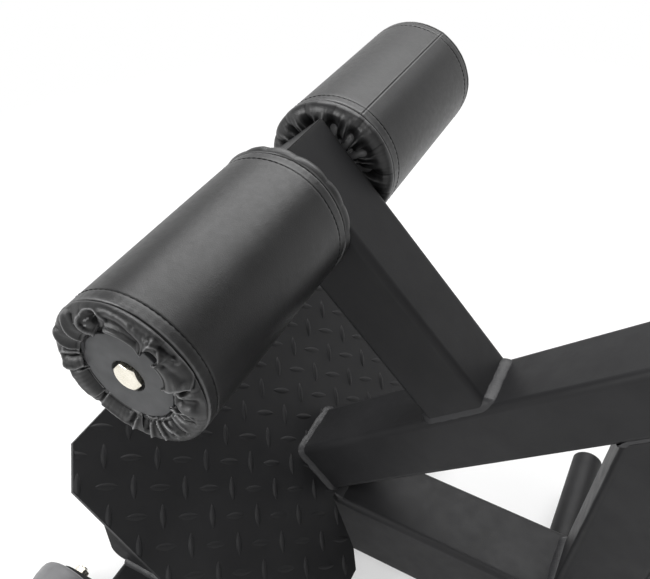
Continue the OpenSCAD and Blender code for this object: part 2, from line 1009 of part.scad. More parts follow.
module inner_tube() {
    color(steel_black)
        on_rail()
            difference() {
                translate([inner_start, 0, rail_mid_n])
                    rotate([0, 90, 0])
                        box_tube(inner_d, inner_w, inner_wall, inner_wall + 1.5, inner_end - inner_start);
                for (k = [-adjust_steps:adjust_steps])
                    translate([pin_u + k * adjust_step, -inner_w / 2 - 1, rail_mid_n])
                        rotate([-90, 0, 0])
                            cylinder(h = inner_wall + 2, r = adjust_hole_r);
                translate([bar_u, 0, rail_mid_n])
                    rotate([90, 0, 0])
                        cylinder(h = inner_w + 2, r = bar_d / 2 + 0.02, center = true);
            }
}

// Plastic glide on the tube's inner end, which bears on the rail's inside
module inner_glide() {
    a = rail_d - 2 * tube_wall - 2 * slide_gap;
    b = rail_w - 2 * tube_wall - 2 * slide_gap;
    color(plastic_black)
        on_rail()
            translate([inner_start, 0, rail_mid_n])
                rotate([0, 90, 0])
                    union() {
                        translate([0, 0, -8])
                            linear_extrude(8)
                                round_rect(a, b, tube_r - tube_wall);
                        linear_extrude(glide_len - 8)
                            round_rect(inner_d - 2 * inner_wall, inner_w - 2 * inner_wall, 1.5);
                    }
}

module inner_cap() {
    color(plastic_black)
        on_rail()
            translate([inner_end, 0, rail_mid_n])
                rotate([0, 90, 0])
                    difference() {
                        tube_plug(inner_d, inner_w, inner_wall, inner_wall + 1.5);
                        translate([0, 0, bar_u - inner_end])
                            rotate([90, 0, 0])
                                cylinder(h = inner_w + 2, r = bar_d / 2 + 0.5, center = true);
                    }
}

module cross_tube(u) {
    color(steel_black)
        on_rail()
            translate([u, cross_len / 2, inner_top + cross_h / 2])
                rotate([90, 0, 0])
                    difference() {
                        box_tube(cross_d, cross_h, cross_wall, cross_wall + 1.5, cross_len);
                        for (side = [-1, 1])
                            for (y = [pad_y - pad_bolt_y, pad_y + pad_bolt_y])
                                translate([0, cross_h, cross_len / 2 + side * y])
                                    rotate([90, 0, 0])
                                        cylinder(h = 2 * cross_h, r = pad_bolt_r + bolt_gap);
                    }
}

module cross_tube_lower() cross_tube(pad_u - cross_pitch / 2);

module cross_tube_upper() cross_tube(pad_u + cross_pitch / 2);

module cross_tube_plugs() {
    color(plastic_black)
        on_rail()
            translate([pad_u, 0, inner_top + cross_h / 2])
                for (row = [-1, 1])
                    for (side = [-1, 1])
                        translate([row * cross_pitch / 2, side * cross_len / 2, 0])
                            rotate([-90 * side, 0, 0])
                                tube_plug(
                                    cross_d, cross_h, cross_wall, cross_wall + 1.5,
                                    cross_plug_depth
                                );
}

module at_pad_bolts(side) {
    for (row = [-1, 1])
        for (end = [-1, 1])
            translate([row * cross_pitch / 2, end * pad_bolt_y, 0])
                children();
}

module pad_board(side) {
    color(wood_brown)
        on_rail()
            translate([pad_u, side * pad_y, cross_top])
                difference() {
                    linear_extrude(board_t)
                        round_rect(pad_len - 2 * board_inset, pad_w - 2 * board_inset, board_r);
                    at_pad_bolts(side)
                        translate([0, 0, -1])
                            cylinder(h = board_t + 2, r = pad_bolt_r + bolt_gap);
                }
}

module pad_board_near() pad_board(-1);

module pad_board_far() pad_board(1);

// Button-head bolts that pass up through the cross tubes into the boards
module pad_bolts() {
    color(plated)
        on_rail()
            for (side = [-1, 1])
                translate([pad_u, side * pad_y, inner_top])
                    at_pad_bolts(side)
                        union() {
                            translate([0, 0, -pad_bolt_head_h])
                                cylinder(h = pad_bolt_head_h, r1 = 4, r2 = pad_bolt_head_r);
                            cylinder(h = cross_h + board_t - 2, r = pad_bolt_r);
                        }
}

// Outline of a pad at one height: a rectangle with full round corners whose
// sides draw in between the corners
function pad_ring(inset, h, sides = 64) = [
    for (j = [0:sides - 1])
        let (
            a = (j + 0.5) * 360 / sides,
            c = cos(a), s = sin(a),
            half_l = pad_len / 2 - inset, half_w = pad_w / 2 - inset,
            k = pow(pow(abs(c), 5) + pow(abs(s), 5), -1 / 5),
            draw = 1 - 0.02 * pow(cos(2 * a), 2)
        )
            [half_l * k * c * draw, half_w * k * s * draw, h]
];

module pad_cushion(side) {
    rings = [
        pad_ring(pad_round * 0.15, 0),
        pad_ring(pad_round * 0.05, pad_t * 0.08),
        pad_ring(pad_round * 0.013, pad_t * 0.25),
        pad_ring(0, pad_t * 0.45),
        pad_ring(pad_round * 0.02, pad_t * 0.62),
        pad_ring(pad_round * 0.083, pad_t * 0.76),
        pad_ring(pad_round * 0.188, pad_t * 0.855),
        pad_ring(pad_round * 0.354, pad_t * 0.925),
        pad_ring(pad_round * 0.625, pad_t * 0.97),
        pad_ring(pad_round, pad_t * 0.995)
    ];
    color(leather_black)
        on_rail()
            translate([pad_u, side * pad_y, pad_n])
                ring_loft(rings);
}

module pad_cushion_near() pad_cushion(-1);

module pad_cushion_far() pad_cushion(1);

// Handle bar

module handle_bar() {
    r = bar_d / 2;
    color(steel_black)
        on_rail()
            translate([bar_u, 0, rail_mid_n])
                union() {
                    rotate([90, 0, 0])
                        translate([0, 0, -bar_half])
                            pipe(r, r - bar_wall, 2 * bar_half);
                    for (side = [-1, 1])
                        scale([1, side, 1])
                            union() {
                                translate([bar_bend, bar_half, 0])
                                    rotate([0, 0, 90])
                                        rotate_extrude(angle = 90)
                                            translate([bar_bend, 0])
                                                difference() {
                                                    circle(r);
                                                    circle(r - bar_wall);
                                                }
                                translate([bar_bend, bar_half + bar_bend, 0])
                                    rotate([0, 90, 0])
                                        pipe(r, r - bar_wall, bar_straight);
                            }
                }
}

// Ribbed rubber sleeve with a closed end and a flange at the hand's edge
module grip(side) {
    r = grip_d / 2;
    bore = bar_d / 2;
    start = bar_straight + 1 - grip_len;
    rib = 8;
    ribs = floor((grip_len - 26) / rib);
    color(rubber_black)
        on_rail()
            translate([bar_u + bar_bend, side * (bar_half + bar_bend), rail_mid_n])
                rotate([0, 90, 0])
                    rotate_extrude()
                        polygon(concat(
                            [[bore, start], [r + 3, start], [r + 3, start + 3], [r - 0.5, start + 5]],
                            [for (k = [0:ribs - 1]) each [
                                [r - 0.5, start + 10 + k * rib], [r, start + 11 + k * rib],
                                [r, start + 15 + k * rib], [r - 0.5, start + 16 + k * rib]
                            ]],
                            [
                                [r - 0.5, bar_straight + 1], [r - 2, bar_straight + 3.5],
                                [r - 5, bar_straight + 4.5], [0, bar_straight + 4.5],
                                [0, bar_straight], [bore, bar_straight]
                            ]
                        ));
}

module grip_near() grip(-1);

module grip_far() grip(1);

base_tube();
rear_crossbar();
front_crossbar();
front_flange();
flange_bolts();
flange_nuts();
upright();
main_rail();
rail_liner();
roller_post();
post_cap();
footplate();
wing_support_near();
wing_support_far();
wheel_fork_near();
wheel_fork_far();
wheel_bolts();
wheel_nuts();
rear_cap_near();
rear_cap_far();
front_cap_near();
front_cap_far();
foot_rear_near();
foot_rear_far();
foot_front_near();
foot_front_far();
foot_screws();
band_peg_near();
band_peg_far();
peg_plugs();
roller_axle();
end_disc_near();
end_disc_far();
axle_bolts();
roller_spacers();
pin_barrel();
roller_core_near();
roller_core_far();
roller_foam_near();
roller_foam_far();
roller_cover_near();
roller_cover_far();
wheel_near();
wheel_far();
inner_tube();
inner_glide();
inner_cap();
cross_tube_lower();
cross_tube_upper();
cross_tube_plugs();
pad_board_near();
pad_board_far();
pad_cushion_near();
pad_cushion_far();
pad_bolts();
handle_bar();
grip_near();
grip_far();
pull_pin();
pull_knob();
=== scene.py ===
"""Looks of the hyperextension bench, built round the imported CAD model."""
import random
from math import cos, pi, radians, sin, sqrt, tan

import bmesh
import bpy
import numpy as np
from mathutils import Matrix, Vector
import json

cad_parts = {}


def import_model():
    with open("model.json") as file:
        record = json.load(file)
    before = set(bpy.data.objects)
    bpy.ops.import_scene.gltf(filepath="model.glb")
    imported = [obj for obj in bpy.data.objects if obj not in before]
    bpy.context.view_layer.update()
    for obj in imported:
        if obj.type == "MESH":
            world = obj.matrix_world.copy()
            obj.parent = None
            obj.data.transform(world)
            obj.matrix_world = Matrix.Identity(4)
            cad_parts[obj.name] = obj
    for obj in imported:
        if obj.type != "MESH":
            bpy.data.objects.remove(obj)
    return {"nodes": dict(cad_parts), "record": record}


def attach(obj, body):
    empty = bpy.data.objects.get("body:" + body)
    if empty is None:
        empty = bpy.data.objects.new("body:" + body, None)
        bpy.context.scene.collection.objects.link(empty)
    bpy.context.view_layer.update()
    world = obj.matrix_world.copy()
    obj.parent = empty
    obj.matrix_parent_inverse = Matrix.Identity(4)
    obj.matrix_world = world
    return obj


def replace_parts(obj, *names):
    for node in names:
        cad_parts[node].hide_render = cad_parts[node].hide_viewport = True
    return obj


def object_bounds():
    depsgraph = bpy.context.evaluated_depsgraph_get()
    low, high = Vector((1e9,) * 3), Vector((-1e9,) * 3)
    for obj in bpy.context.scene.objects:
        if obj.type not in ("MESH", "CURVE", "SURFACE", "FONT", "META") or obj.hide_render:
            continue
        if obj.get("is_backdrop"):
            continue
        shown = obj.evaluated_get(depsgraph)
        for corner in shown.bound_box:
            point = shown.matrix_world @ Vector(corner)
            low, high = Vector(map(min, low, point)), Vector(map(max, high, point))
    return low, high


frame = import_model()
cad_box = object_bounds()
nodes = frame["nodes"]
RAIL = sqrt(0.5)  # the rail's rise and run for each metre along it
TOE = (-0.284, 0.133)  # the rail's lower end


def on_rail(u, y, n):
    """A point given along the rail, across the bench and square to the rail."""
    return Vector((TOE[0] + (u - n) * RAIL, y, TOE[1] + (u + n) * RAIL))


class Graph:
    """A shader node tree, with the groups of nodes that come up more than once."""

    def __init__(self, tree):
        self.tree = tree
        tree.nodes.clear()

    def add(self, kind, values=None, **props):
        """A node, with a number or another node's socket for some of its inputs."""
        n = self.tree.nodes.new("ShaderNode" + kind)
        for key, value in props.items():
            setattr(n, key, value)
        for key, value in (values or {}).items():
            if isinstance(value, bpy.types.NodeSocket):
                self.link(value, n.inputs[key])
            else:
                n.inputs[key].default_value = value
        return n

    def link(self, a, b):
        self.tree.links.new(a, b)

    def spread(self, value, low, high, to_low=0.0, to_high=1.0, **props):
        values = {"Value": value, "From Min": low, "From Max": high, "To Min": to_low,
                  "To Max": to_high}
        return self.add("MapRange", values, **props).outputs["Result"]

    def math(self, operation, a, b):
        return self.add("Math", {0: a, 1: b}, operation=operation).outputs[0]

    def seen(self):
        """1 for what the camera sees, by itself, in a reflection or through a piece."""
        path = self.add("LightPath").outputs
        seen = self.math("MAXIMUM", path["Is Camera Ray"], path["Is Glossy Ray"])
        return self.math("MAXIMUM", seen, path["Is Transmission Ray"])

    def show(self, share, a, b, out):
        """Shader a, turning to b with the share."""
        mix = self.add("MixShader", {0: share, 1: a.outputs[0], 2: b.outputs[0]})
        self.link(mix.outputs[0], out.inputs["Surface"])


class Finish(Graph):
    """A material with its own nodes, in the object's own metres."""

    def __init__(self, name, color, roughness, specular=0.5, metallic=0.0):
        self.material = bpy.data.materials.new(name)
        self.material.use_nodes = True
        super().__init__(self.material.node_tree)
        self.shader = self.add("BsdfPrincipled", {
            "Base Color": (*color, 1), "Roughness": roughness, "Metallic": metallic,
            "Specular IOR Level": specular})
        self.out = self.add("OutputMaterial", {"Surface": self.shader.outputs[0]})
        self.coord = self.add("TexCoord").outputs["Object"]
        self.bumps = None

    def noise(self, scale, detail, rough, stretch=None):
        coord = self.coord
        if stretch:
            coord = self.add("Mapping", {"Vector": coord, "Scale": stretch}).outputs["Vector"]
        values = {"Vector": coord, "Scale": scale, "Detail": detail, "Roughness": rough}
        return self.add("TexNoise", values).outputs["Fac"]

    def cells(self, scale, feature="F1", **values):
        values.update({"Vector": self.coord, "Scale": scale})
        return self.add("TexVoronoi", values, feature=feature).outputs["Distance"]

    def tint(self, value, a, b):
        """Base colour from a to b. The first may be the socket of an earlier tint."""
        a = (*a, 1) if isinstance(a, tuple) else a
        n = self.add("Mix", {"Factor": value, 6: a, 7: (*b, 1)}, data_type="RGBA")
        self.link(n.outputs[2], self.shader.inputs["Base Color"])
        return n.outputs[2]

    def mottle(self, scale, detail, a, b):
        return self.tint(self.spread(self.noise(scale, detail, 0.6), 0.35, 0.65), a, b)

    def rough(self, value, low, high):
        self.link(self.spread(value, 0.3, 0.7, low, high), self.shader.inputs["Roughness"])

    def bump(self, height, depth):
        """Adds relief of that depth, in metres, on top of the relief so far."""
        values = {"Height": height, "Strength": 1.0, "Distance": depth}
        if self.bumps:
            values["Normal"] = self.bumps
        self.bumps = self.add("Bump", values).outputs["Normal"]
        self.link(self.bumps, self.shader.inputs["Normal"])


def powder_coat(name, low, high, roughness, specular):
    f = Finish(name, high, roughness, specular)
    f.mottle(14, 5, low, high)
    f.rough(f.noise(60, 4, 0.6), roughness - 0.05, roughness + 0.06)
    f.bump(f.noise(900, 2, 0.5), 0.00006)
    f.bump(f.noise(2600, 2, 0.6), 0.00003)
    return f.material


def grained_leather(name):
    """Leather whose crests are painted lighter, as rubbed wear and as a painted highlight, and whose
    hollows shine less, as a painted shade.
    """
    f = Finish(name, (0.008, 0.008, 0.0084), 0.42, 0.42)
    base = f.mottle(35, 5, (0.006, 0.006, 0.0063), (0.01, 0.01, 0.0104))
    bulge = f.add("NewGeometry").outputs["Pointiness"]
    # Convex crests, found by pointiness, are painted lighter: partly rubbed wear, partly a painted
    # highlight.
    f.tint(f.spread(bulge, 0.515, 0.575), base, (0.15, 0.15, 0.152))
    # Concave hollows, found by pointiness, get less specular: a painted shade in the folds.
    painted_shade_specular = f.spread(bulge, 0.475, 0.52, 0.04, 0.68)
    f.link(painted_shade_specular, f.shader.inputs["Specular IOR Level"])
    f.rough(f.noise(220, 3, 0.6), 0.37, 0.45)
    f.bump(f.noise(320, 3, 0.6), 0.00004)
    f.bump(f.cells(1500, "SMOOTH_F1", Smoothness=0.4), 0.00006)
    return f.material


def moulded(name, low, high, roughness, specular=0.4, grain=0.00004):
    f = Finish(name, high, roughness, specular)
    f.mottle(40, 4, low, high)
    f.rough(f.noise(150, 3, 0.5), roughness - 0.05, roughness + 0.05)
    f.bump(f.noise(1400, 2, 0.6), grain)
    return f.material


def metal(name, low, high, roughness):
    f = Finish(name, high, roughness, 0.5, 1.0)
    f.mottle(60, 4, low, high)
    f.rough(f.noise(400, 4, 0.6), roughness - 0.07, roughness + 0.08)
    f.bump(f.noise(1200, 3, 0.6), 0.00003)
    return f.material


def plywood(name):
    f = Finish(name, (0.55, 0.4, 0.25), 0.6, 0.3)
    grain = f.noise(18, 6, 0.65, (1, 14, 14))
    f.tint(f.spread(grain, 0.3, 0.7), (0.44, 0.29, 0.16), (0.62, 0.46, 0.29))
    f.rough(f.noise(120, 3, 0.5), 0.5, 0.68)
    f.bump(grain, 0.0002)
    return f.material


def foam_rubber(name):
    f = Finish(name, (0.33, 0.33, 0.34), 0.95, 0.2)
    f.mottle(60, 4, (0.28, 0.28, 0.29), (0.36, 0.36, 0.37))
    f.bump(f.cells(900), 0.0003)
    return f.material


COAT = (0.013, 0.013, 0.0138), (0.018, 0.018, 0.019)
finish = {name: make(name, *values) for name, make, *values in (
    ("frame_paint", powder_coat, *COAT, 0.5, 0.2),
    ("plate_paint", powder_coat, *COAT, 0.48, 0.25),
    ("leather", grained_leather),
    ("foam", foam_rubber),
    ("board", plywood),
    ("black_plastic", moulded, (0.012, 0.012, 0.0125), (0.018, 0.018, 0.0185), 0.55, 0.25),
    ("grip_rubber", moulded, (0.018,) * 3, (0.026,) * 3, 0.7, 0.3, 0.00008),
    ("foot_rubber", moulded, (0.02,) * 3, (0.03,) * 3, 0.75, 0.3, 0.0001),
    ("bright_steel", metal, (0.55, 0.55, 0.56), (0.66, 0.66, 0.67), 0.3),
    ("disc_steel", moulded, (0.034, 0.035, 0.0365), (0.047, 0.048, 0.05), 0.5, 0.3),
    ("zinc", metal, (0.74, 0.7, 0.6), (0.84, 0.8, 0.7), 0.27),
    ("wheel_plastic", moulded, (0.13, 0.13, 0.135), (0.165, 0.165, 0.17), 0.5))}
weld_paint = powder_coat("weld_paint", (0.02, 0.02, 0.021), (0.03, 0.03, 0.032), 0.42, 0.36)
thread_black = moulded("thread", (0.007,) * 3, (0.012,) * 3, 0.7, 0.2, 0.00002)
for part in frame["record"]["subparts"]:
    mesh = nodes[part["node"]].data
    mesh.materials.clear()
    mesh.materials.append(finish[part["material_slot"]])


def piece(name, points, faces, body, slot):
    """A smooth piece in world metres, with its slot's finish, riding on a body."""
    mesh = bpy.data.meshes.new(name)
    mesh.from_pydata(points.tolist(), [], faces)
    mesh.update()
    mesh.shade_smooth()
    mesh.materials.append(finish[slot])
    made = bpy.data.objects.new(name, mesh)
    bpy.context.scene.collection.objects.link(made)
    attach(made, body)
    return made


# Leather covers of the ankle rollers. Lengths in millimetres up to the last step.
AXIS = on_rail(0.192, 0, 0.204)
MIDDLE = np.array([AXIS.x, 0, AXIS.z])
COVER_R = 50.5
SEAMS = (40.0, 202.0)  # distances of the two end seams from the bench's middle
STITCH_IN = 8.7
END_LENGTH = 23.0  # along the leather from the seam to the hem
DEGREE = radians(42)  # of turn, in millimetres, halfway down the end
HEM_R = 0.0009  # of the roll along the hem, in metres
COLUMNS = 640
ALPHA = np.arange(COLUMNS) * 360.0 / COLUMNS


def unit(v, least=0.0):
    return v / (np.linalg.norm(v, axis=-1, keepdims=True) + least)


def smooth_step(low, high, x):
    t = np.clip((x - low) / (high - low), 0, 1)
    return t * t * (3 - 2 * t)


def run_along(points):
    """How far along a polyline each of its points lies."""
    return np.concatenate([[0], np.cumsum(np.linalg.norm(np.diff(points, axis=0), axis=1))])


def spline(points, count):
    """Catmull-Rom through points, sampled evenly along its length."""
    p = np.array(points, float)
    p = np.vstack([2 * p[0] - p[1], p, 2 * p[-1] - p[-2]])
    t = np.linspace(0, 1, 12, endpoint=False)[:, None]
    fine = [0.5 * (2 * b + (c - a) * t + (2 * a - 5 * b + 4 * c - d) * t**2
                   + (3 * b - a - 3 * c + d) * t**3)
            for a, b, c, d in zip(p, p[1:], p[2:], p[3:])]
    fine = np.vstack(fine + [p[-2]])
    run = run_along(fine)
    at = np.linspace(0, run[-1], count)
    return np.column_stack([np.interp(at, run, fine[:, k]) for k in range(fine.shape[1])])


def ripple(seed, waves, low, high):
    """A smooth random function round the roller, about -1 to 1."""
    rng = random.Random(seed)
    out = np.zeros(COLUMNS)
    for _ in range(waves):
        angle = ALPHA * rng.randint(low, high) + rng.uniform(0, 360)
        out += sqrt(2 / waves) * np.cos(np.radians(angle))
    return out


def blur_round(values, reach):
    """Gaussian blur of a closed row, reach in samples."""
    k = np.arange(-3 * int(reach + 1), 3 * int(reach + 1) + 1)
    w = np.exp(-0.5 * (k / reach) ** 2)
    return sum(np.roll(values, i) * v for i, v in zip(k, w / w.sum()))


def around(pairs):
    """Values given at angles, filled in smoothly round the circle."""
    pairs = sorted(pairs)
    a = np.array([pairs[-1][0] - 360] + [p[0] for p in pairs] + [pairs[0][0] + 360], float)
    v = np.array([pairs[-1][1]] + [p[1] for p in pairs] + [pairs[0][1]], float)
    return blur_round(np.interp(ALPHA, a, v), 8)


def hem_line(folds, hem_r):
    """The folded hem, opened out. For each column: its angle at the hem, how deep it
    sits in a fold, which way that fold goes, where it starts, which fold comes
    before it and how far it is on the way to the next."""
    k = radians(hem_r)
    line, tops = [], []
    for fold in folds:
        c, high, half = fold["at"] * k, fold["deep"], fold["half"]
        way = (fold["out"], fold["start"])
        line.append((c - 0.8 * half, 0, *way))
        for j, f in enumerate(np.radians(np.linspace(205, -25, 21))):
            q = 0.5 + 0.5 * sin(f)
            if j == 10:
                tops.append(len(line))
            line.append((c + half * cos(f) + fold["lean"] * q, high * q, *way))
        line.append((c + 0.8 * half, 0, *way))
    closed = np.vstack([line, np.array(line[0]) + np.array([360 * k, 0, 0, 0])])
    run = run_along(closed[:, :2])
    total = run[-1]
    fine = np.arange(0, total, 0.2)
    c, q, out, start = (np.interp(fine, run, closed[:, j]) for j in range(4))
    straight = fine * 360 * k / total
    c = blur_round(c - straight, 2.6) + straight
    q = blur_round(q, 2.6)
    angles = np.array([f["at"] for f in folds] + [folds[0]["at"] + 360.0])
    tops = np.append(run[tops], run[tops[0]] + total)
    lap = np.where(ALPHA < angles[0], 360, 0)
    here = ALPHA + lap
    at = np.interp(here, angles, tops)
    index = np.clip(np.searchsorted(angles, here, side="right") - 1, 0, len(folds) - 1)
    inside = (here - angles[index]) / (angles[index + 1] - angles[index])
    wrap = np.where(at >= total, at - total, at)
    theta = (np.interp(wrap, fine, c) + np.where(at >= total, 360 * k, 0)) / k - lap
    return theta, *(np.interp(wrap, fine, v) for v in (q, out, start)), index, inside


def profile(points, s):
    """Radius and height at each s, from 0 at the seam to 1 at the hem."""
    line = spline(points, 200)
    return [np.interp(s, np.linspace(0, 1, 200), line[:, k]) for k in (0, 1)]


def drawn(crease, angle, s):
    """The height that a crease adds: its points run over (angle, s) and its two
    widths are for the sides of smaller and greater angles. A crest rises slowly."""
    line = spline(crease["points"], 14)
    rise = smooth_step(-0.02, crease["taper"] + 0.001, np.linspace(0, 1, 14))
    px = ((angle - line[0, 0] + 180) % 360 - 180) * DEGREE
    py = s * END_LENGTH
    x, y = (line[:, 0] - line[0, 0]) * DEGREE, line[:, 1] * END_LENGTH
    best, side, share = np.full(px.shape, 1e9), np.zeros(px.shape), np.ones(px.shape)
    for x0, y0, x1, y1, low, high in zip(x, y, x[1:], y[1:], rise, rise[1:]):
        ex, ey = x1 - x0, y1 - y0
        t = np.clip(((px - x0) * ex + (py - y0) * ey) / (ex * ex + ey * ey), 0, 1)
        gap = np.hypot(px - x0 - t * ex, py - y0 - t * ey)
        closer = gap < best
        best = np.where(closer, gap, best)
        side = np.where(closer, ey * (px - x0) - ex * (py - y0), side)
        share = np.where(closer, low + (high - low) * t, share)
    width = np.where(side < 0, crease["before"], crease["beyond"])
    return share * crease["high"] * np.exp(-(best / width) ** crease["power"])


def end_rows(end, seed, seam_at, rows=68):
    """Rows of (angle, radius, height) from the seam to the rolled hem of one end."""
    folds = sorted(end["folds"], key=lambda f: f["at"])
    theta, fold, out, start, index, inside = hem_line(folds, end["full"][-1][0])
    t = 1 - (1 - np.linspace(0, 1, rows)[:, None]) ** 1.2
    s = t * around(end["reach"])
    flat = around(end["flat"])[None, :]
    full, low = profile(end["full"], s), profile(end["low"], s)
    r, h = (a * (1 - flat) + b * flat for a, b in zip(full, low))
    slope = unit(np.stack([np.gradient(r, axis=0), np.gradient(h, axis=0)], axis=-1))
    angle = ALPHA + (theta - ALPHA) * smooth_step(0.1, 1.0, t) ** 0.9
    angle = angle + around([(f["at"], f["bend"]) for f in folds]) * np.sin(np.pi * t)

    # Pouches between the folds, creases across the end, fine puckers and a standing hem
    skew, puff = (np.array([f[key] for f in folds])[index] for key in ("skew", "puff"))
    puff = puff * np.sin(np.pi * inside**skew) ** 0.8
    lift = puff * np.sin(np.pi * np.clip(0.04 + 0.96 * t, 0, 1) ** 0.8) ** 0.8
    for crease in end["creases"]:
        lift = lift + drawn(crease, angle, s)
    fine = 0.06 * ripple(seed, 14, 18, 60) + 0.03 * ripple(seed + 1, 14, 40, 110)
    ridge = np.exp(-np.abs((ALPHA - seam_at + 180) % 360 - 180) * 0.9 / 4.5)
    lift = lift + fine * np.sin(np.pi * t) + 0.8 * ridge * (1 - t) ** 2
    grow = np.clip((t - start) / (1 - start), 0, 1)
    sunk = fold * grow**1.15 * (1.6 - 0.6 * grow) * np.sqrt(1 - out**2)
    lift = lift * smooth_step(-0.05, 0.16, t) - sunk
    lift = lift + around(end["lip"]) * smooth_step(0.93, 1.0, t)
    r = r + lift * slope[..., 1] + fold * grow**1.6 * out
    h = h - lift * slope[..., 0]
    return np.stack([angle, r, h], axis=-1)


def to_points(rows, side):
    """Rows of (angle, radius, place along the axis) as points in metres."""
    a, r, w = np.radians(rows[..., 0]), rows[..., 1] / 1000, rows[..., 2] / 1000
    return np.stack([AXIS.x + r * np.cos(a), side * w, AXIS.z + r * np.sin(a)], axis=-1)


def rolled_hem(points, centre_y, lining_r, lining_y):
    """Rows that roll the hem's edge under and carry it back out of sight, down to a
    lining that closes the gap behind it."""
    edge = points[-1]
    along = unit(edge - points[-3])
    across = np.roll(edge, -1, axis=0) - np.roll(edge, 1, axis=0)
    normal = unit(np.cross(across, along), 1e-12)
    normal *= np.sign(np.mean(normal[:, 1]) * np.sign(edge[:, 1].mean() - centre_y))
    centre = edge - normal * HEM_R
    rows = []
    for t in np.radians((25, 50, 75, 100, 125, 150, 180)):
        rows.append(centre + HEM_R * (normal * cos(t) + along * sin(t)))
    away = rows[-1] - MIDDLE
    away[:, 1] = 0
    hem_r = np.linalg.norm(away, axis=1)[:, None]
    away /= hem_r
    level = rows[-1][:, 1:2]
    end_y = np.sign(centre_y) * lining_y
    past = np.maximum(hem_r + 0.001, lining_r + 0.004)
    for part, r in ((0.5, hem_r + 0.0008), (0.95, past), (1.0, lining_r)):
        row = MIDDLE + away * r
        row[:, 1:2] = level + (end_y - level) * part
        rows.append(row)
    return np.array(rows)


def roller_cover(name, side, outer, inner, seam_at, seed):
    """One cover: a closed sheet from its outer lining over the barrel to its inner one."""
    arc = np.abs((ALPHA - seam_at + 180) % 360 - 180) * radians(COVER_R)
    ridge, groove = np.exp(-arc / 5.0), np.exp(-(arc / 0.5) ** 2)
    wave = [ripple(seed + i, 5, 2, 6) for i in range(2)]
    pucker = ripple(seed + 9, 16, 34, 70)
    steps = [0.2, 0.5, 0.9, 1.5, 2.4, 3.6, 5, 6.5, 7.6, 8.2, 8.7, 9.2, 9.8, 11, 13]
    w = np.array([SEAMS[0] + v for v in steps]
                 + list(np.linspace(SEAMS[0] + 16, SEAMS[1] - 16, 44))
                 + [SEAMS[1] - v for v in reversed(steps)])[:, None]
    t = (w - SEAMS[0]) / (SEAMS[1] - SEAMS[0])
    near = np.minimum(w - SEAMS[0], SEAMS[1] - w)
    r = COVER_R - 0.15 * np.exp(-near / 7)
    r = r + 0.1 * (wave[0] * np.cos(3 * t) + wave[1] * np.sin(4 * t + 1))
    r = r - 1.8 * np.exp(-(near / 0.75) ** 2) - 0.3 * np.exp(-((near - STITCH_IN) / 0.5) ** 2)
    r = r + pucker * 0.045 * np.exp(-near / 5.5) + 0.75 * ridge - 0.5 * groove
    barrel = np.stack([ALPHA + 0 * w, r, w + 0 * ALPHA], axis=-1)
    out_rows, in_rows = end_rows(outer, seed + 20, seam_at), end_rows(inner, seed + 40, seam_at)
    out_rows[..., 2] = SEAMS[1] + out_rows[..., 2]
    in_rows[..., 2] = SEAMS[0] - in_rows[..., 2]
    out_points, in_points = to_points(out_rows, side), to_points(in_rows, side)
    middle = side * 0.001 * sum(SEAMS) / 2
    points = np.concatenate([
        rolled_hem(in_points, middle, 0.017, 0.0371)[::-1], in_points[::-1],
        to_points(barrel, side), out_points, rolled_hem(out_points, middle, 0.0335, 0.2037)])
    rows, cols = points.shape[:2]
    i, j = np.meshgrid(np.arange(rows - 1) * cols, np.arange(cols), indexing="ij")
    n = (j + 1) % cols
    quad = np.stack([i + j, i + n, i + cols + n, i + cols + j], axis=-1).reshape(-1, 4)
    if side > 0:
        quad = quad[:, ::-1]
    cover = piece(f"cover_{name}", points.reshape(-1, 3), quad.tolist(), f"roller_{name}",
                  "leather")
    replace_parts(cover, f"roller_cover_{name}")


def fold(at, half, deep, lean, out, start, puff, skew=1.0, bend=0.0):
    """A fold of a gathered end, and the pouch that follows it. Angles in degrees,
    lengths in millimetres; out is how far the fold opens outwards, not inwards."""
    return dict(at=at, half=half, deep=deep, lean=lean, out=out, start=start, puff=puff,
                skew=skew, bend=bend)


def crest(high, before, beyond, *points, power=1.3, taper=0.45):
    return dict(high=high, before=before, beyond=beyond, points=points, power=power,
                taper=taper)


def dip(deep, wide, *points, power=2.0):
    return dict(high=-deep, before=wide, beyond=wide, points=points, power=power, taper=0)


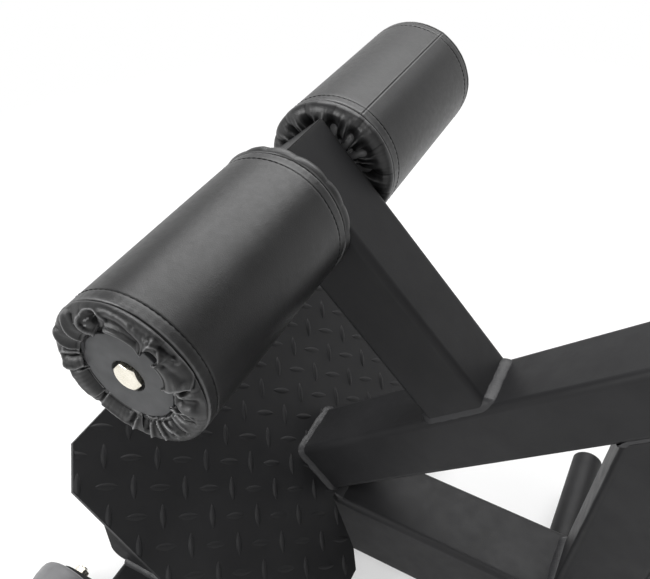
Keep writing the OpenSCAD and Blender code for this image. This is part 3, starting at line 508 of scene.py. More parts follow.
NEAR_OUT = {
    "full": [(48.8, 0.2), (50.2, 1.1), (50.4, 2.6), (49.5, 4.8), (47.3, 7), (44.2, 8.4),
        (40.6, 8.8), (37.4, 8), (35, 6.6), (33.3, 5)],
    "low": [(48.8, 0.2), (50.1, 1), (49.8, 2), (48.2, 3.4), (45.4, 4.7), (42.2, 5.3), (39, 5.2),
        (36, 4.6), (33.6, 3.8), (31.6, 2.6)],
    "flat": [(20, 0.25), (60, 0), (110, 0.1), (135, 0.2), (150, 0.3), (185, 0.4), (205, 0.8),
        (235, 1), (280, 1), (310, 0.7), (345, 0.5)],
    "reach": [(2, 1), (18, 0.95), (42, 0.95), (50, 0.93), (62, 0.9), (74, 0.88), (81, 0.74),
        (89, 0.7), (96, 0.75), (103, 0.86), (112, 0.95), (125, 1)],
    "lip": [(0, 0.9), (20, 1.6), (40, 1.5), (54, 1.9), (80, 1.6), (94, 1.8), (103, 1.4),
        (120, 0.9), (200, 0.5), (300, 0.6)],
    "folds": [
        fold(17, 2.2, 9, 2, 0.95, 0.3, 1), fold(54, 4, 9, -0.5, 0.98, 0.3, 1.2),
        fold(107, 2.8, 6, -1, 0.5, 0.3, 0), fold(147, 1.2, 4, -2.5, 0.3, 0.3, 0),
        fold(198, 1.2, 3, -1.5, 0.2, 0.3, 0.4), fold(231, 1.2, 2.4, -1, 0.2, 0.3, 0),
        fold(279, 1.2, 3, -2, 0.2, 0.35, 0), fold(311, 1.3, 3.5, 2.5, 0.2, 0.3, 0),
        fold(351, 1.5, 5.5, 2, 0.5, 0.35, 0.8)],
    "creases": [
        # The deep hollow at the upper left, its rim and the petals that overlap round it
        dip(7, 4.6, (106, 1), (105, 0.75), (106, 0.54), power=2.6),
        crest(1.6, 1.4, 1, (97, 0.5), (99, 0.36), (104, 0.28), (111, 0.31), (114, 0.4), taper=0),
        crest(2.8, 1, 3, (113, 0.38), (118, 0.53), (120, 0.7), (116, 0.95)),
        dip(1.6, 1.5, (126, 0.4), (128, 0.6), (131, 0.9)),
        crest(2.8, 3.4, 0.8, (125, 0.18), (131, 0.26), (135, 0.36), (137, 0.5), (141, 0.7),
              (146, 1)),
        dip(2.2, 1.5, (135, 0.24), (140, 0.4), (143, 0.55), (147, 0.75), (151, 1)),
        crest(2.6, 3.4, 0.8, (153, 0.26), (157, 0.36), (161, 0.5), (164, 0.7), (163, 1)),
        dip(2, 1.3, (162, 0.34), (166, 0.5), (169, 0.7), (168, 1)),
        crest(2.2, 1.6, 2, (178, 0.3), (176, 0.5), (172, 0.7), (170, 1)),
        dip(2.4, 2.2, (180, 0.95), (182, 0.75), (182, 0.55)),
        crest(2.6, 2.8, 0.8, (188, 0.3), (190, 0.4), (193, 0.5), (194, 0.75), (190, 1)),
        # Lower left: a quiet pouch, a step, and the light band along the rim
        dip(2.6, 4.4, (203, 1), (214, 0.95), (225, 0.95)),
        crest(1, 2, 3, (201, 0.45), (212, 0.36), (222, 0.36), taper=0),
        dip(1.4, 1.1, (233, 0.2), (233, 0.5), (230, 1)),
        dip(1.4, 3.4, (238, 1), (249, 1), (260, 0.95)),
        crest(0.8, 2, 1.6, (266, 0.36), (258, 0.42), (250, 0.5), (242, 0.5), (236, 0.45),
              taper=0.3),
        # Lower right: crisp radial ridges with dark bands between them
        dip(2.2, 1.7, (267, 0.9), (263, 0.5)),
        crest(2.2, 0.9, 1.3, (264, 0.3), (268, 0.5), (271, 0.8)),
        dip(2.6, 2.2, (282, 0.9), (279, 0.45)),
        crest(3, 0.9, 1.1, (284, 0.34), (288, 0.55), (292, 0.9)),
        dip(2, 1.3, (297, 0.9), (295, 0.5)),
        crest(2.6, 0.8, 1, (300, 0.36), (304, 0.6), (301, 0.95)),
        dip(2.4, 1.3, (309, 0.95), (311, 0.5)),
        crest(2.8, 0.8, 0.9, (318, 0.36), (320, 0.6), (313, 0.95)),
        dip(3, 1.7, (322, 0.95), (326, 0.45)),
        crest(1.4, 1.4, 1.4, (331, 0.36), (336, 0.6), (332, 0.95)),
        dip(2.6, 1.5, (340, 0.95), (345, 0.42)),
        crest(2.8, 0.9, 0.8, (350, 0.38), (352, 0.65), (346, 1)),
        # Right: the dished pouch, the lapped fold above it and the flat pouch up to the round hole
        dip(3.4, 4, (364, 0.8), (366, 0.55), (366, 0.38), power=3),
        crest(3.6, 0.9, 4.5, (21, 0.22), (24, 0.35), (24, 0.6), (20, 1), taper=0.25),
        dip(3.6, 2, (13, 1), (17, 0.7), (20, 0.4)),
        dip(2, 3.2, (42, 0.55), (35, 0.45), (29, 0.36)),
        crest(1.8, 1.6, 1.2, (46, 0.98), (47, 0.6), (52, 0.38), (56, 0.33), (60, 0.42), (60, 0.8),
              taper=0.1),
        crest(2.2, 2, 2, (60, 0.08), (60, 0.2), (59, 0.34), taper=0.6),
        dip(2.4, 2.4, (53, 0.27), (48, 0.24), (44, 0.18)),
        # Top: the long dish between the shoulder and the standing hem
        dip(4.6, 4.2, (94, 0.52), (84, 0.54), (76, 0.6), (69, 0.66), power=2.4)],
}
FAR_IN = {
    "full": [(49.6, 0.1), (50.4, 0.9), (50.2, 2.8), (49, 5), (46.6, 7), (43.2, 8.3), (39.4, 8.6),
        (35.4, 8), (31.6, 6.8), (28.2, 5.2), (25.4, 3.2), (23.6, 0.8)],
    "low": [(49.6, 0.1), (50.4, 0.9), (50.2, 2.4), (49, 4.2), (46.6, 5.8), (43.2, 6.8), (39.4, 7),
        (35.4, 6.4), (31.6, 5.4), (28.2, 4), (25.4, 2.2), (23.6, 0.2)],
    "flat": [(0, 0), (90, 0), (180, 0.5), (270, 0.8)],
    "reach": [(0, 1)],
    "lip": [(0, 0.3)],
    "folds": [
        fold(9, 2.6, 7.5, 1.5, 0.25, 0.3, 1.4), fold(37, 2.6, 7.5, -1.5, 0.25, 0.35, 1.2, 1),
        fold(61, 2.4, 7.5, 1, 0.2, 0.3, 1.2, 0.9), fold(87, 2.6, 8, 1, 0.25, 0.3, 1.4, 1.1),
        fold(117, 2.8, 8, -1, 0.25, 0.3, 1.4), fold(143, 2, 6.5, -1.5, 0.2, 0.3, 1.2, 1.4),
        fold(166, 2.2, 7, 1.5, 0.2, 0.25, 1.2), fold(190, 1.7, 5.5, -1, 0.15, 0.3, 1),
        fold(213, 2, 7, 1, 0.15, 0.25, 1.2, 1.3), fold(236, 1.8, 6, -1.5, 0.15, 0.3, 1.1),
        fold(258, 2.1, 7, 1.5, 0.2, 0.3, 1.2), fold(281, 1.7, 5.5, 1, 0.15, 0.3, 1.1, 0.8),
        fold(303, 2, 6.5, -1.5, 0.15, 0.25, 1.2), fold(326, 1.8, 6, 1.5, 0.15, 0.3, 1.1),
        fold(349, 1.8, 6, -1, 0.2, 0.3, 1)],
    "creases": [
        *(crest(high, before, beyond, (at, 0.3), (at + lean, 0.6), (at + 2 * lean, 0.9))
          for at, lean, high, before, beyond in (
              (97, 2, 1.6, 1.5, 1), (72, -2, 1.6, 1, 1.5), (131, 0, 1.4, 1.4, 1.2),
              (157, 0, 1.4, 1.2, 1.6), (198, 2, 1.4, 1.4, 1), (248, -2, 1.3, 1.2, 1.2),
              (292, 0, 1.4, 1.4, 1))),
        crest(1.8, 1.2, 1, (53, 0.45), (53, 0.75), (53, 1)),
        crest(1.8, 1, 1.2, (22, 0.4), (24, 0.7), (26, 1)),
        dip(1.4, 2.6, (25, 0.5), (23, 0.62)), dip(1.4, 2.6, (47, 0.5), (49, 0.62)),
        dip(1.6, 2.8, (76, 0.48), (78, 0.6)),
        dip(1.4, 2.6, (104, 0.5), (106, 0.62))],
}


def turned(end, by, seed):
    """The same kind of gathers at other angles, for an end that the photo hides."""
    rng = random.Random(seed)
    folds = [dict(f, at=(f["at"] + by + rng.uniform(-3, 3)) % 360,
                  deep=f["deep"] * rng.uniform(0.85, 1.1)) for f in end["folds"]]
    creases = [dict(c, points=[(a + by, v) for a, v in c["points"]]) for c in end["creases"]]
    moved = {key: [((a + by) % 360, v) for a, v in end[key]] for key in ("reach", "lip", "flat")}
    return dict(end, folds=folds, creases=creases, **moved)


NEAR_IN = dict(
    turned(FAR_IN, 40, 5),
    full=[(49.6, 0.1), (50.4, 0.9), (50.7, 2.8), (50.5, 5.2), (49.2, 7.4), (46.4, 8.7),
          (42.4, 9), (37.4, 8.2), (32.6, 6.8), (28.6, 5.2), (25.4, 3.2), (23.6, 0.8)],
    low=[(49.6, 0.1), (50.4, 0.9), (50.5, 2.8), (50, 4.8), (48.4, 6.6), (45.6, 7.6),
         (41.8, 7.8), (37, 7), (32.4, 5.6), (28.4, 4), (25.4, 2.2), (23.6, 0.2)])
FAR_OUT = dict(turned(NEAR_OUT, 150, 6), flat=[(0, 0.8), (120, 1)])
roller_cover("near", -1, NEAR_OUT, NEAR_IN, 250, 100)
roller_cover("far", 1, FAR_OUT, FAR_IN, 66, 200)

# Hardware, welds and tread. Lengths in millimetres, turned to metres by Sheets.make.
X, Y, Z = np.eye(3)
U, N = (X + Z) * RAIL, (Z - X) * RAIL
CENTRE = MIDDLE * 1000
SIDES = ((-1, "near"), (1, "far"))


def at_rail(u, y, n):
    """A point on the rail in millimetres."""
    return np.array(on_rail(u / 1000, y / 1000, n / 1000)) * 1000


class Sheets:
    """Sheets of points gathered into one piece."""

    def __init__(self):
        self.points, self.faces, self.count = [], [], 0

    def put(self, rows):
        """Adds the points of a sheet and says the number of the first."""
        start = self.count
        self.points.append(rows.reshape(-1, 3))
        self.count += len(self.points[-1])
        return start

    def sheet(self, rows, closed=False, ends=False):
        rows = np.asarray(rows, float)
        n, (count, cols) = self.put(rows), rows.shape[:2]
        for i in range(n, n + (count - 1) * cols, cols):
            for j in range(cols if closed else cols - 1):
                k = (j + 1) % cols
                self.faces.append([i + j, i + k, i + cols + k, i + cols + j])
        if ends:
            self.faces.append([n + j for j in reversed(range(cols))])
            self.faces.append([n + (count - 1) * cols + j for j in range(cols)])

    def make(self, name, body, slot, sharp=None, material=None, facing=None):
        made = piece(name, np.concatenate(self.points) / 1000, self.faces, body, slot)
        mesh = bmesh.new()
        mesh.from_mesh(made.data)
        bmesh.ops.recalc_face_normals(mesh, faces=mesh.faces)
        if facing is not None:
            turned_away = [f for f in mesh.faces if f.normal @ Vector(facing) < 0]
            bmesh.ops.reverse_faces(mesh, faces=turned_away)
        mesh.to_mesh(made.data)
        mesh.free()
        if sharp:
            made.data.set_sharp_from_angle(angle=radians(sharp))
        if material:
            made.data.materials[0] = material
        return made


def turn_rows(radii, origin, axis, angles):
    """Rows round an axis, one for each (radius, height); either may vary in a row."""
    side = np.cross(axis, X if abs(axis[0]) < 0.9 else Y)
    other = np.cross(axis, side)
    return [origin + (r * np.cos(angles))[:, None] * side
            + (r * np.sin(angles))[:, None] * other + (h + 0 * angles)[:, None] * axis
            for r, h in radii]


def lathe(sheets, outline, origin, axis, segments, closed=False):
    """Turns (radius, height) pairs about an axis; the outline runs from axis to axis."""
    angles = np.linspace(0, 2 * pi, segments, endpoint=False)
    rows = turn_rows([(max(r, 0.02), h) for r, h in outline], origin, axis, angles)
    if closed:
        rows.append(rows[0])
    sheets.sheet(rows, closed=True, ends=not closed)


def rounded(points, radius):
    """A polyline with its inner corners rounded."""
    p = [np.array(q, float) for q in points]
    out = [p[0]]
    for a, b, c in zip(p, p[1:], p[2:]):
        r = min(radius, np.linalg.norm(a - b) * 0.45, np.linalg.norm(c - b) * 0.45)
        start, end = b + unit(a - b) * r, b + unit(c - b) * r
        for t in np.linspace(0, 1, 4):
            out.append((1 - t) ** 2 * start + 2 * t * (1 - t) * b + t**2 * end)
    return out + [p[-1]]


def hexagon(sheets, flats, low, high, origin, axis, turn, bore=0, dimple=0):
    """A hexagon with chamfered corners, plain at low and chamfered at high."""
    a = np.radians(np.arange(0, 360, 3.0))
    sixth = radians(60)
    wall = flats / 2 / np.cos((a - radians(turn)) % sixth - sixth / 2)
    wall = np.minimum(wall, flats / 2 / cos(sixth / 2) - 0.25)
    crown = 0.47 * flats
    up = 1 if high > low else -1
    edge, floor = high - up * (wall - crown) * tan(radians(28)), high - up * dimple
    sheets.sheet(turn_rows([
        (wall - 0.3, low), (wall, low + 0.3 * up), (wall, edge - up * 0.15), (wall - 0.15, edge),
        (crown, high - up * 0.05), (crown - 0.3, high), (max(bore, 1) * 1.4, floor),
        (max(bore, 0.02), floor - (0.8 * up if bore else 0))], origin, axis, a),
        closed=True, ends=True)


def thread(sheets, radius, low, high, origin, axis, pitch):
    """A threaded end: a helical ridge with a chamfered tip."""
    a = np.radians(np.arange(0, 360, 12.0))
    radii = []
    for h in np.linspace(low, high, max(8, int(abs(high - low) / pitch * 6))):
        wave = np.abs(((h / pitch - a / (2 * pi)) % 1) * 2 - 1)
        r = radius - 0.45 * wave * pitch / 1.5
        radii.append((np.minimum(r, radius - 0.9 + abs(high - h) * 0.9), h))
    sheets.sheet(turn_rows(radii, origin, axis, a), closed=True, ends=True)


# End discs and the bolts in their recesses
for side, name in SIDES:
    disc = Sheets()
    lathe(disc, rounded([(5.3, 198), (12.8, 198), (14.3, 201.4), (29, 201.4), (30, 202.2),
                         (30, 205), (11, 205), (10.5, 200.6), (5.3, 200.6)], 0.55),
          CENTRE, side * Y, 160, closed=True)
    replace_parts(disc.make(f"disc_{name}", "frame", "disc_steel", 40), f"end_disc_{name}")

bolts = Sheets()
for side, turn in ((-1, 22), (1, 48)):
    hexagon(bolts, 17, 200.55, 206.9, CENTRE, side * Y, turn, dimple=0.35)
    lathe(bolts, [(0, 174.6), (4.2, 174.6), (5, 175.4), (5, 200.7), (0, 200.7)],
          CENTRE, side * Y, 48)
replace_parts(bolts.make("axle_bolts_made", "frame", "zinc", 35), "axle_bolts")

# Bolts and nuts of the flange and of the wheels, measured along their axes from a point
for name, places, flats, radius, pitch, head, shank, tip, nut, bore, turns in (
        ("flange", [((400, y, 40), X) for y in (-50.2, 50.2)], 17, 5, 1.5,
         (0, -6.35), (-0.1, 8.5), (8.5, 20.9), (9.05, 16.95), 4.75, (10, 37)),
        ("wheel", [((-434, s * 215, 37), s * Y) for s in (-1, 1)], 13, 4, 1.25,
         (17, 22.3), (17.1, -17), (-27, -17), (-25, -17), 3.8, (12, 20))):
    bolts, nuts = Sheets(), Sheets()
    for at, axis in places:
        hexagon(bolts, flats, *head, at, axis, turns[0], dimple=0.3)
        low, high = shank
        lathe(bolts, [(0, low), (radius, low), (radius, high), (0, high)], at, axis, 48)
        thread(bolts, radius, *tip, at, axis, pitch)
        hexagon(nuts, flats, *nut, at, axis, turns[1], bore)
    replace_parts(bolts.make(f"{name}_bolts_made", "frame", "zinc", 35), f"{name}_bolts")
    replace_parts(nuts.make(f"{name}_nuts_made", "frame", "zinc", 35), f"{name}_nuts")

# Weld beads: a fillet between two faces, laid in overlapping ripples.
STEP = 0.45  # between points along a bead
RIPPLE = (2.19, 2.21)  # length of one ripple


def bead(sheets, path, to_a, to_b, legs, seed, closed=False):
    """A bead along a path, with the directions and lengths of its two legs."""
    count, run = len(path), run_along(path)
    to_a, to_b = (unit(np.broadcast_to(np.asarray(v, float), path.shape)) for v in (to_a, to_b))
    legs = np.broadcast_to(np.asarray(legs, float), (count, 2))
    rng = random.Random(seed)
    wander = sum(np.sin(run * 2 * pi / rng.uniform(9, 40) + rng.uniform(0, 6))
                 for _ in range(6)) * 0.02
    grit = [np.array([rng.gauss(0, 1) for _ in range(count)]) for _ in range(3)]
    grit = [np.convolve(g, np.ones(3) / 1.7, "same") for g in grit]
    taper = 1.0
    if not closed:
        taper = np.clip(np.minimum(run, run[-1] - run) / 2.2 + 0.12, 0, 1) ** 0.5
    rows = []
    for j, v in enumerate(np.linspace(0, 1, 11)):
        c, s = cos(v * pi / 2), sin(v * pi / 2)
        full = 0.42 + 0.58 / (c + s)
        phase = run / rng.uniform(*RIPPLE) - 0.75 * sin(pi * v)
        height = 0.03 * ((phase % 1) ** 0.7 - 0.5) * sin(pi * (0.12 + 0.76 * v))
        reach = (full * (1 + wander + height + 0.007 * grit[j % 3]) * taper)[:, None]
        rows.append(path + (to_a * (c * legs[:, :1]) + to_b * (s * legs[:, 1:])) * reach)
    rows.insert(0, rows[0] - to_b * 0.5 + to_a * 0.1)
    rows.append(rows[-1] - to_a * 0.5 + to_b * 0.1)
    rows = np.array(rows).transpose(1, 0, 2)
    if closed:
        rows = np.concatenate([rows, rows[:1]])
    sheets.sheet(rows)
    if not closed:
        cols = rows.shape[1]
        n = sheets.count - len(rows) * cols
        sheets.faces.append([n + j for j in range(cols)])
        sheets.faces.append([sheets.count - cols + j for j in reversed(range(cols))])


def line_bead(sheets, a, b, *values):
    """A bead from a to b."""
    a, b = np.array(a, float), np.array(b, float)
    t = np.linspace(0, 1, int(np.linalg.norm(b - a) / STEP) + 2)[:, None]
    bead(sheets, a + (b - a) * t, *values)


def frame_path(centre, e1, e2, h1, h2, r=6):
    """A rounded rectangle round a tube, with the outward direction at each point."""
    points, out = [], []
    for k, (sx, sy) in enumerate(((1, 1), (-1, 1), (-1, -1), (1, -1))):
        corner = centre + e1 * sx * (h1 - r) + e2 * sy * (h2 - r)
        start = radians(90 * k)
        end = start + pi / 2
        for t in np.linspace(start, end, int(r * 1.57 / STEP) + 2)[:-1]:
            out.append(e1 * cos(t) + e2 * sin(t))
            points.append(corner + out[-1] * r)
        face = e1 * cos(end) + e2 * sin(end)
        way = e1 * -sin(end) + e2 * cos(end)
        for t in np.arange(0, 2 * (h2 - r) if k % 2 else 2 * (h1 - r), STEP):
            points.append(corner + face * r + way * t)
            out.append(face)
    return np.array(points), np.array(out)


def ring_path(centre, e1, e2, r):
    a = np.linspace(0, 2 * pi, int(2 * pi * r / STEP), endpoint=False)[:, None]
    out = e1 * np.cos(a) + e2 * np.sin(a)
    return centre + out * r, out


welds = Sheets()
# Post on the rail: full fillets across the rail, thin ones on its round shoulders
path, out = frame_path(at_rail(192, 0, 0), U, Y, 30, 27.5)
cross = np.abs(out @ Y)[:, None] ** 2
bead(welds, path - N * 1.1 * cross, out - N * 1.25 * cross, N,
     np.hstack([6.4 - 3.6 * cross, 5.6 - 3.4 * cross]), 11, True)
# Rail's end on the plate
path, out = frame_path(at_rail(0, 0, -27.5), N, Y, 27.5, 30)
low = np.clip(-(out @ N), 0, 1)[:, None]
bead(welds, path, out, U, np.hstack([4.2 - 2.6 * low, 3.8 - 1.4 * low]), 12, True)
# Plate on the base tube, front and back
line_bead(welds, (-241, -33, 90), (-241, 33, 90), X, N, (5, 4), 13)
line_bead(welds, (-246.7, -33, 90), (-246.7, 33, 90), -X, N, (5, 5), 14)
# Upright on the base tube and under the rail
path, out = frame_path((-3, 0, 90), X, Y, 30, 30)
cross = np.abs(out @ Y)[:, None] ** 2
bead(welds, path, out - Z * 0.62 * cross, Z, np.hstack([5.6 - 1.6 * cross, 4.8 - cross]), 15, True)
path, out = frame_path(at_rail(342.4, 0, -55), U, Y, 42.4, 30)
cross = np.abs(out @ Y)[:, None] ** 3
bead(welds, path - out * 1.5 * cross, out * (1 - 0.6 * cross) + N * cross,
     -Z + out * 0.4 * cross, np.hstack([4.4 - 1.6 * cross] * 2), 16, True)
# Pegs, and the pull pin's barrel
for side in (-1, 1):
    path, out = ring_path((-32, side * 35, 50), X, Z, 15)
    bead(welds, path, out, side * Y, (4.6, 4.4), 17 + side, True)
path, out = ring_path(at_rail(525, -30, -27.5), U, N, 12)
bead(welds, path, out, -Y, (3.2, 3.2), 20, True)
# Base tube on the rear crossbar and on the front flange
line_bead(welds, (-331.5, -33, 68.3), (-331.5, 33, 68.3), (-4.5, 0, 1.7), (1.5, 0, 6),
              (5.2, 6), 21)
for side in (-1, 1):
    y = side * 35
    line_bead(welds, (-330, y, 14), (-330, y, 65), side * Y, X, (5.4, 5.4), 22 + side)
    line_bead(welds, (400, y, 14), (400, y, 86), side * Y, -X, (5, 5), 25 + side)
# Supports on the rear crossbar and behind the wings, wheel ears on the crossbar
for side in (-1, 1):
    for face in (-1, 1):
        y = side * 171.5 + face * 2.5
        seed = 30 + side + 3 * face
        line_bead(welds, (-389, y, 70), (-332, y, 70), face * Y, Z, (4, 4), seed)
        line_bead(welds, at_rail(-4, y, -4), at_rail(-4, y, 74), face * Y, -U, (4, 4),
                      seed + 10)
    for face in (-1, 1):
        y = side * 215 + face * 17
        line_bead(welds, (-390, y, 23), (-390, y, 51), face * Y, -X, (3, 3),
                      50 + face * 15 + side)
welds.make("frame_welds", "frame", "frame_paint", 60, weld_paint)

welds = Sheets()
for k, u in enumerate((680, 720, 780, 820)):
    line_bead(welds, at_rail(u, -21, -5), at_rail(u, 21, -5), U if k % 2 else -U, N,
                  (4.6, 4.6), 60 + k)
for side in (-1, 1):
    path, out = ring_path(at_rail(845, side * 25, -27.5), U, N, 12.5)
    bead(welds, path, out, side * Y, (3.6, 3.6), 65 + side, True)
welds.make("carriage_welds", "pad_carriage", "frame_paint", 60, weld_paint)

# The tread plate: its size, and the steps between its raised lugs
PLATE_HALF, PLATE_TOP, PLATE_BOTTOM, PLATE_CUT = 204, 164, 119, 26
NOTCH_TOP, NOTCH_HALF, NOTCH_SLOPE = -56.8, 36, 21 / 48.2
LUG_LENGTH, LUG_WIDTH, LUG_HEIGHT, LUG_SUNK = 10.0, 2.9, 1.25, 0.08
LUG_STEP, LUG_START = (30.57, 34.84), (-15.4, -0.6)


def lug(y, n, angle, height):
    """A pointed ridge about (y, n) on the plate, as rows of (y, n, height)."""
    a, b = np.meshgrid(np.linspace(-1, 1, 25), np.linspace(-1, 1, 11), indexing="ij")
    wide = LUG_WIDTH * (1 - np.abs(a) ** 2.0) ** 0.8 + 0.2 * (1 - np.abs(a))
    high = height * (1 - np.abs(a) ** 2.4) ** 0.8 * (1 - np.abs(b) ** 2.0) ** 1.2
    along, across = LUG_LENGTH * a, wide * b
    y = y + along * cos(angle) - across * sin(angle)
    n = n + along * sin(angle) + across * cos(angle)
    return np.stack([y, n, high - LUG_SUNK], axis=-1)


def inside_plate(y, n):
    """Whether a point lies on the plate and clear of its notch and of the rail's end."""
    y = abs(y)
    over = max(n - PLATE_TOP, -n - PLATE_BOTTOM)
    return (over <= 0 and y <= PLATE_HALF and over + y - PLATE_HALF <= -PLATE_CUT
            and (n >= NOTCH_TOP or y >= NOTCH_HALF + (NOTCH_TOP - n) * NOTCH_SLOPE)
            and (y + n > -48 or y > 71))


lugs = Sheets()
for i in range(-8, 9):
    for j in range(-6, 7):
        for half, turn in ((0, 45), (0.5, -45)):
            y, n = (s + (k + half) * d for s, k, d in zip(LUG_START, (i, j), LUG_STEP))
            rows = lug(y, n, radians(turn), LUG_HEIGHT + turn / 130)
            tips = (rows[0, 5], rows[-1, 5], rows[12, 0], rows[12, -1])
            if not any(inside_plate(*p[:2]) for p in tips) or (abs(y) < 22 and -46 < n < -8):
                continue
            p, cols = rows.reshape(-1, 3), rows.shape[1]
            start = lugs.put(at_rail(0, 0, 0) + p[:, :1] * Y + p[:, 1:2] * N + p[:, 2:] * U)
            for a in range(0, len(p) - cols, cols):
                for b in range(a, a + cols - 1):
                    face = [b, b + 1, b + cols + 1, b + cols]
                    if all(inside_plate(*p[c][:2]) for c in face):
                        lugs.faces.append([start + c for c in face])
lugs.make("tread_lugs", "frame", "plate_paint", facing=U)

# Stitches: short rounded threads lying in the pressed lines of the leather.
STITCHES = 76  # in one turn of a roller


def stitch(sheets, a, b, out):
    """One thread from a to b that dips into the leather at both ends."""
    side = np.cross(unit(b - a), out)
    turn = np.radians(np.arange(0, 360, 60))[:, None]
    rows = []
    for t in np.linspace(0, 1, 6):
        lift = 0.28 * sin(pi * t) - 0.12
        r = 0.32 * (0.55 + 0.45 * sin(pi * t))
        rows.append(a + (b - a) * t + out * lift + (np.cos(turn) * side + np.sin(turn) * out) * r)
    sheets.sheet(rows, closed=True, ends=True)


for side, name in SIDES:
    threads = Sheets()
    # Dark thread rings in the end seams' grooves: seam thread, and a painted shade that keeps each
    # groove dark.
    for y in SEAMS:
        ring = [(COVER_R - 1.3 + 0.4 * cos(t), y + 0.4 * sin(t))
                for t in np.radians(range(0, 360, 45))]
        lathe(threads, ring, CENTRE, side * Y, 320, closed=True)
    for y in (SEAMS[0] + STITCH_IN, SEAMS[1] - STITCH_IN):
        for k in range(STITCHES):
            outs = [cos(a) * X + sin(a) * Z
                    for a in (radians(t * 360 / STITCHES) for t in (k, k + 0.78))]
            ends = [CENTRE + out * (COVER_R - 0.22) + side * y * Y for out in outs]
            stitch(threads, *ends, outs[0])
    threads.make(f"stitches_{name}", f"roller_{name}", "leather", material=thread_black)

# Hip pads: foam under leather, swollen by a short cloth simulation.
PAD_Y, PAD_START = 105, at_rail(750, 0, 37)
PAD_HALF = (130, 75)  # along and across the pad
SEAM_Z = 30.0
SEAM_RADIUS = 1.7
CLOTH = {"quality": 8, "mass": 0.3, "tension_stiffness": 18, "compression_stiffness": 18,
         "bending_stiffness": 0.6, "use_pressure": True, "uniform_pressure_force": 4,
         "vertex_group_mass": "held", "shrink_min": -0.015}
CLOTH_FRAMES = 20


def swollen_pad():
    """Points and faces of the far pad after the simulation, in pad space: along the
    rail, across the bench and square to the board."""
    cushion = nodes["pad_cushion_far"]
    co = np.array([cushion.matrix_world @ v.co for v in cushion.data.vertices])
    co = co * 1000 - PAD_START
    co = np.stack([co @ U, co @ Y - PAD_Y, co @ N], axis=-1) / 1000
    mesh = bpy.data.meshes.new("pad_trial")
    mesh.from_pydata(co.tolist(), [], [list(p.vertices) for p in cushion.data.polygons])
    trial = bpy.data.objects.new("pad_trial", mesh)
    bpy.context.scene.collection.objects.link(trial)
    bpy.context.view_layer.objects.active = trial
    trial.select_set(True)
    remesh = trial.modifiers.new("even", "REMESH")
    remesh.mode, remesh.voxel_size = "VOXEL", 0.0055
    bpy.ops.object.modifier_apply(modifier=remesh.name)
    before = np.array([v.co for v in trial.data.vertices]) * 1000
    facing = np.array([v.normal for v in trial.data.vertices])
    held = trial.vertex_groups.new(name="held")
    for i, p in enumerate(before):
        held.add([i], 1.0 if p[2] < 5 else 0.0, "REPLACE")
    cloth = trial.modifiers.new("cloth", "CLOTH")
    for key, value in CLOTH.items():
        setattr(cloth.settings, key, value)
    cloth.settings.effector_weights.gravity = 0
    cloth.point_cache.frame_start, cloth.point_cache.frame_end = 1, CLOTH_FRAMES
    for f in range(1, CLOTH_FRAMES + 1):
        bpy.context.scene.frame_set(f)
        trial.evaluated_get(bpy.context.evaluated_depsgraph_get())
    bpy.ops.object.modifier_apply(modifier=cloth.name)
    bpy.context.scene.frame_set(1)
    # The leather swells by 4 mm at most and hardly sinks
    move = np.array([v.co for v in trial.data.vertices]) * 1000 - before
    move *= np.where(np.sum(move * facing, axis=1) < 0, 0.08, 1.0)[:, None]
    size = np.linalg.norm(move, axis=1)[:, None]
    after = before + move * np.minimum(1, 4.0 / np.maximum(size, 1e-9))
    faces = [list(p.vertices) for p in trial.data.polygons]
    bpy.data.objects.remove(trial)
    return after, faces


def pad_point(points, side):
    """Pad space to the world, in metres, for the pad on that side."""
    p = np.asarray(points, float)
    return (PAD_START + p[:, :1] * U + side * (p[:, 1:2] + PAD_Y) * Y + p[:, 2:] * N) / 1000


def pad_outline(points, height, count):
    """The pad's outline at a height, as (u, y) points at even angles."""
    band = points[np.abs(points[:, 2] - height) < 4.5]
    a = np.degrees(np.arctan2(band[:, 1] / PAD_HALF[1], band[:, 0] / PAD_HALF[0])) % 360
    order = np.argsort(a)
    at = np.arange(count) * 360.0 / count
    r = np.interp(at, a[order], np.hypot(band[:, 0], band[:, 1])[order], period=360)
    r = np.convolve(np.concatenate([r[-3:], r, r[:3]]), np.ones(7) / 7, "valid")
    at = np.radians(at)
    return unit(np.stack([np.cos(at), np.sin(at)], axis=-1) * PAD_HALF) * r[:, None]


swollen, swollen_faces = swollen_pad()
outline = pad_outline(swollen, SEAM_Z, 360)
tangent = unit(np.roll(outline, -1, axis=0) - np.roll(outline, 1, axis=0))
outward = np.stack([tangent[:, 1], -tangent[:, 0]], axis=-1)
outward *= np.sign(np.sum(outward * outline))

# A seam pressed in all round, with creases where the leather is drawn over the corners
share = swollen[:, :2] / PAD_HALF
side_face = smooth_step(0.55, 0.8, np.sum(np.abs(share) ** 4, axis=1))
inward = unit(-share / PAD_HALF, 1e-9)
press = 1.6 * np.exp(-((swollen[:, 2] - SEAM_Z) / 2.6) ** 2) * side_face
bearing = np.degrees(np.arctan2(share[:, 1], share[:, 0]))
corner = np.exp(-((np.abs(np.abs(bearing) - 90) - 45) / 16) ** 2) * side_face
crease = np.sin(np.radians(bearing * 26)) * smooth_step(26, 4, swollen[:, 2])
swollen[:, :2] += inward * (press + 0.5 * corner * crease)[:, None]

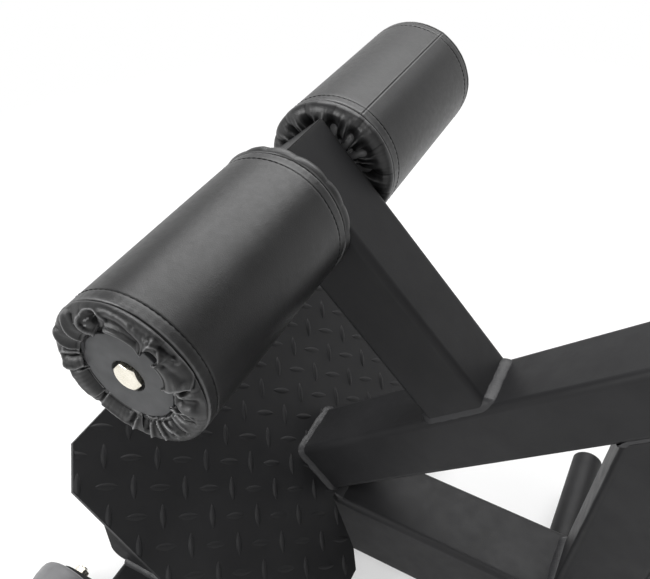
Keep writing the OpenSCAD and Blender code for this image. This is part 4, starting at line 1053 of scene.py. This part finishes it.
for side, name in SIDES:
    faces = [f[::-1] for f in swollen_faces] if side < 0 else swollen_faces
    pad = piece(f"hip_pad_{name}", pad_point(swollen, side), faces, "pad_carriage", "leather")
    smooth = pad.modifiers.new("smooth", "SUBSURF")
    smooth.levels = smooth.render_levels = 1
    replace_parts(pad, f"pad_cushion_{name}")
    welt = Sheets()
    turn = np.radians(np.arange(0, 360, 36))
    ring = [[(*(p + d * (0.1 + SEAM_RADIUS * cos(t))), SEAM_Z + SEAM_RADIUS * sin(t))
             for t in turn] for p, d in zip(outline, outward)]
    welt.sheet(np.array([pad_point(r, side) for r in ring + ring[:1]]) * 1000, closed=True)
    welt.make(f"hip_welt_{name}", "pad_carriage", "leather")
    threads = Sheets()
    height = SEAM_Z - 5.2
    line = pad_outline(swollen, height, 720)
    run = run_along(line)
    for s in np.arange(0, run[-1] - 4, 4.4):
        p = [np.array([np.interp(v, run, line[:, k]) for k in (0, 1)]) for v in (s, s + 3.3)]
        way = p[1] - p[0]
        out = np.array([way[1], -way[0]])
        out *= np.sign(out @ p[0]) / np.linalg.norm(out)
        ends = [pad_point([(*(q + out * 0.15), height)], side)[0] * 1000 for q in p]
        stitch(threads, *ends, out[0] * U + side * out[1] * Y)
    threads.make(f"hip_stitches_{name}", "pad_carriage", "leather", material=thread_black)

# Floor, light and camera
FOCAL, IMAGE_WIDTH, SENSOR = 737.53, 650, 36.0  # pixels, pixels and millimetres
CAMERA_PLACE = (-0.08014, -0.39291, 0.72061)
CAMERA_ANGLES = (26.58, 42.33, 1.57)  # round the object, downwards and roll


def floor():
    """White where the camera sees it, with the shadows kept close to the object."""
    bpy.ops.mesh.primitive_plane_add(size=14, location=(0, 0, 0))
    plane = bpy.context.object
    plane.name = "floor"
    f = Finish("floor_white", (0.9, 0.9, 0.9), 0.9, 0.1)
    f.tint(f.spread(f.noise(3, 3, 0.5), 0.3, 0.7), (0.89, 0.89, 0.89), (0.9, 0.9, 0.9))
    glow = f.add("Emission", {"Color": (1, 1, 1, 1)})
    away = f.add("VectorMath", {0: f.coord}, operation="LENGTH").outputs["Value"]
    share = f.math("MULTIPLY", f.seen(), f.spread(away, 0.5, 1.3, 0.4, 1.0))
    f.show(share, f.shader, glow, f.out)
    plane.data.materials.append(f.material)
    plane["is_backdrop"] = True


def world():
    """Soft light all round, and white behind the object that fades upwards."""
    w = bpy.data.worlds.new("studio")
    bpy.context.scene.world = w
    w.use_nodes = True
    g = Graph(w.node_tree)
    split = g.add("SeparateXYZ", {0: g.add("TexCoord").outputs["Generated"]})
    fade = g.spread(split.outputs["Z"], 0.15, 0.55, 1.0, 0.2, interpolation_type="SMOOTHSTEP")
    soft, white = g.add("Background", {"Strength": 0.6}), g.add("Background", {"Color": fade})
    g.show(g.seen(), soft, white, g.add("OutputWorld"))


def lamp(name, place, aim, size, power):
    data = bpy.data.lights.new(name, "AREA")
    data.shape = "RECTANGLE"
    data.size, data.size_y = size
    data.energy = power
    ob = bpy.data.objects.new(name, data)
    ob.location = place
    ob.rotation_mode = "QUATERNION"
    ob.rotation_quaternion = (Vector(aim) - Vector(place)).to_track_quat("-Z", "Y")
    bpy.context.scene.collection.objects.link(ob)


def camera():
    data = bpy.data.cameras.new("camera")
    data.sensor_fit = "HORIZONTAL"
    data.sensor_width = SENSOR
    data.lens = FOCAL * SENSOR / IMAGE_WIDTH
    data.clip_start, data.clip_end = 0.01, 30
    ob = bpy.data.objects.new("camera", data)
    bpy.context.scene.collection.objects.link(ob)
    a, e, roll = (radians(v) for v in CAMERA_ANGLES)
    back = Vector((sin(a) * cos(e), -cos(a) * cos(e), sin(e)))
    right = (-back).cross(Vector((0, 0, 1))).normalized()
    up = right.cross(-back)
    c, s = cos(roll), sin(roll)
    turn = Matrix((right * c + up * s, up * c - right * s, back)).transposed().to_4x4()
    ob.matrix_world = Matrix.Translation(CAMERA_PLACE) @ turn
    bpy.context.scene.camera = ob


floor()
world()
lamp("key", (-0.62, 1.32, 2.1), (-0.25, 0, 0.35), (2.5, 1.6), 66)
lamp("side", (-1.5, -1.5, 1.3), (-0.3, 0, 0.2), (1.2, 1.0), 32)
lamp("front", (0.25, -0.9, 1.9), (-0.25, -0.1, 0.3), (0.9, 0.7), 8)
camera()

bpy.context.scene.view_settings.view_transform = "Standard"
low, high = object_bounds()
str({"cad": [list(cad_box[0]), list(cad_box[1])], "visual": [list(low), list(high)]}).replace("'", '"')
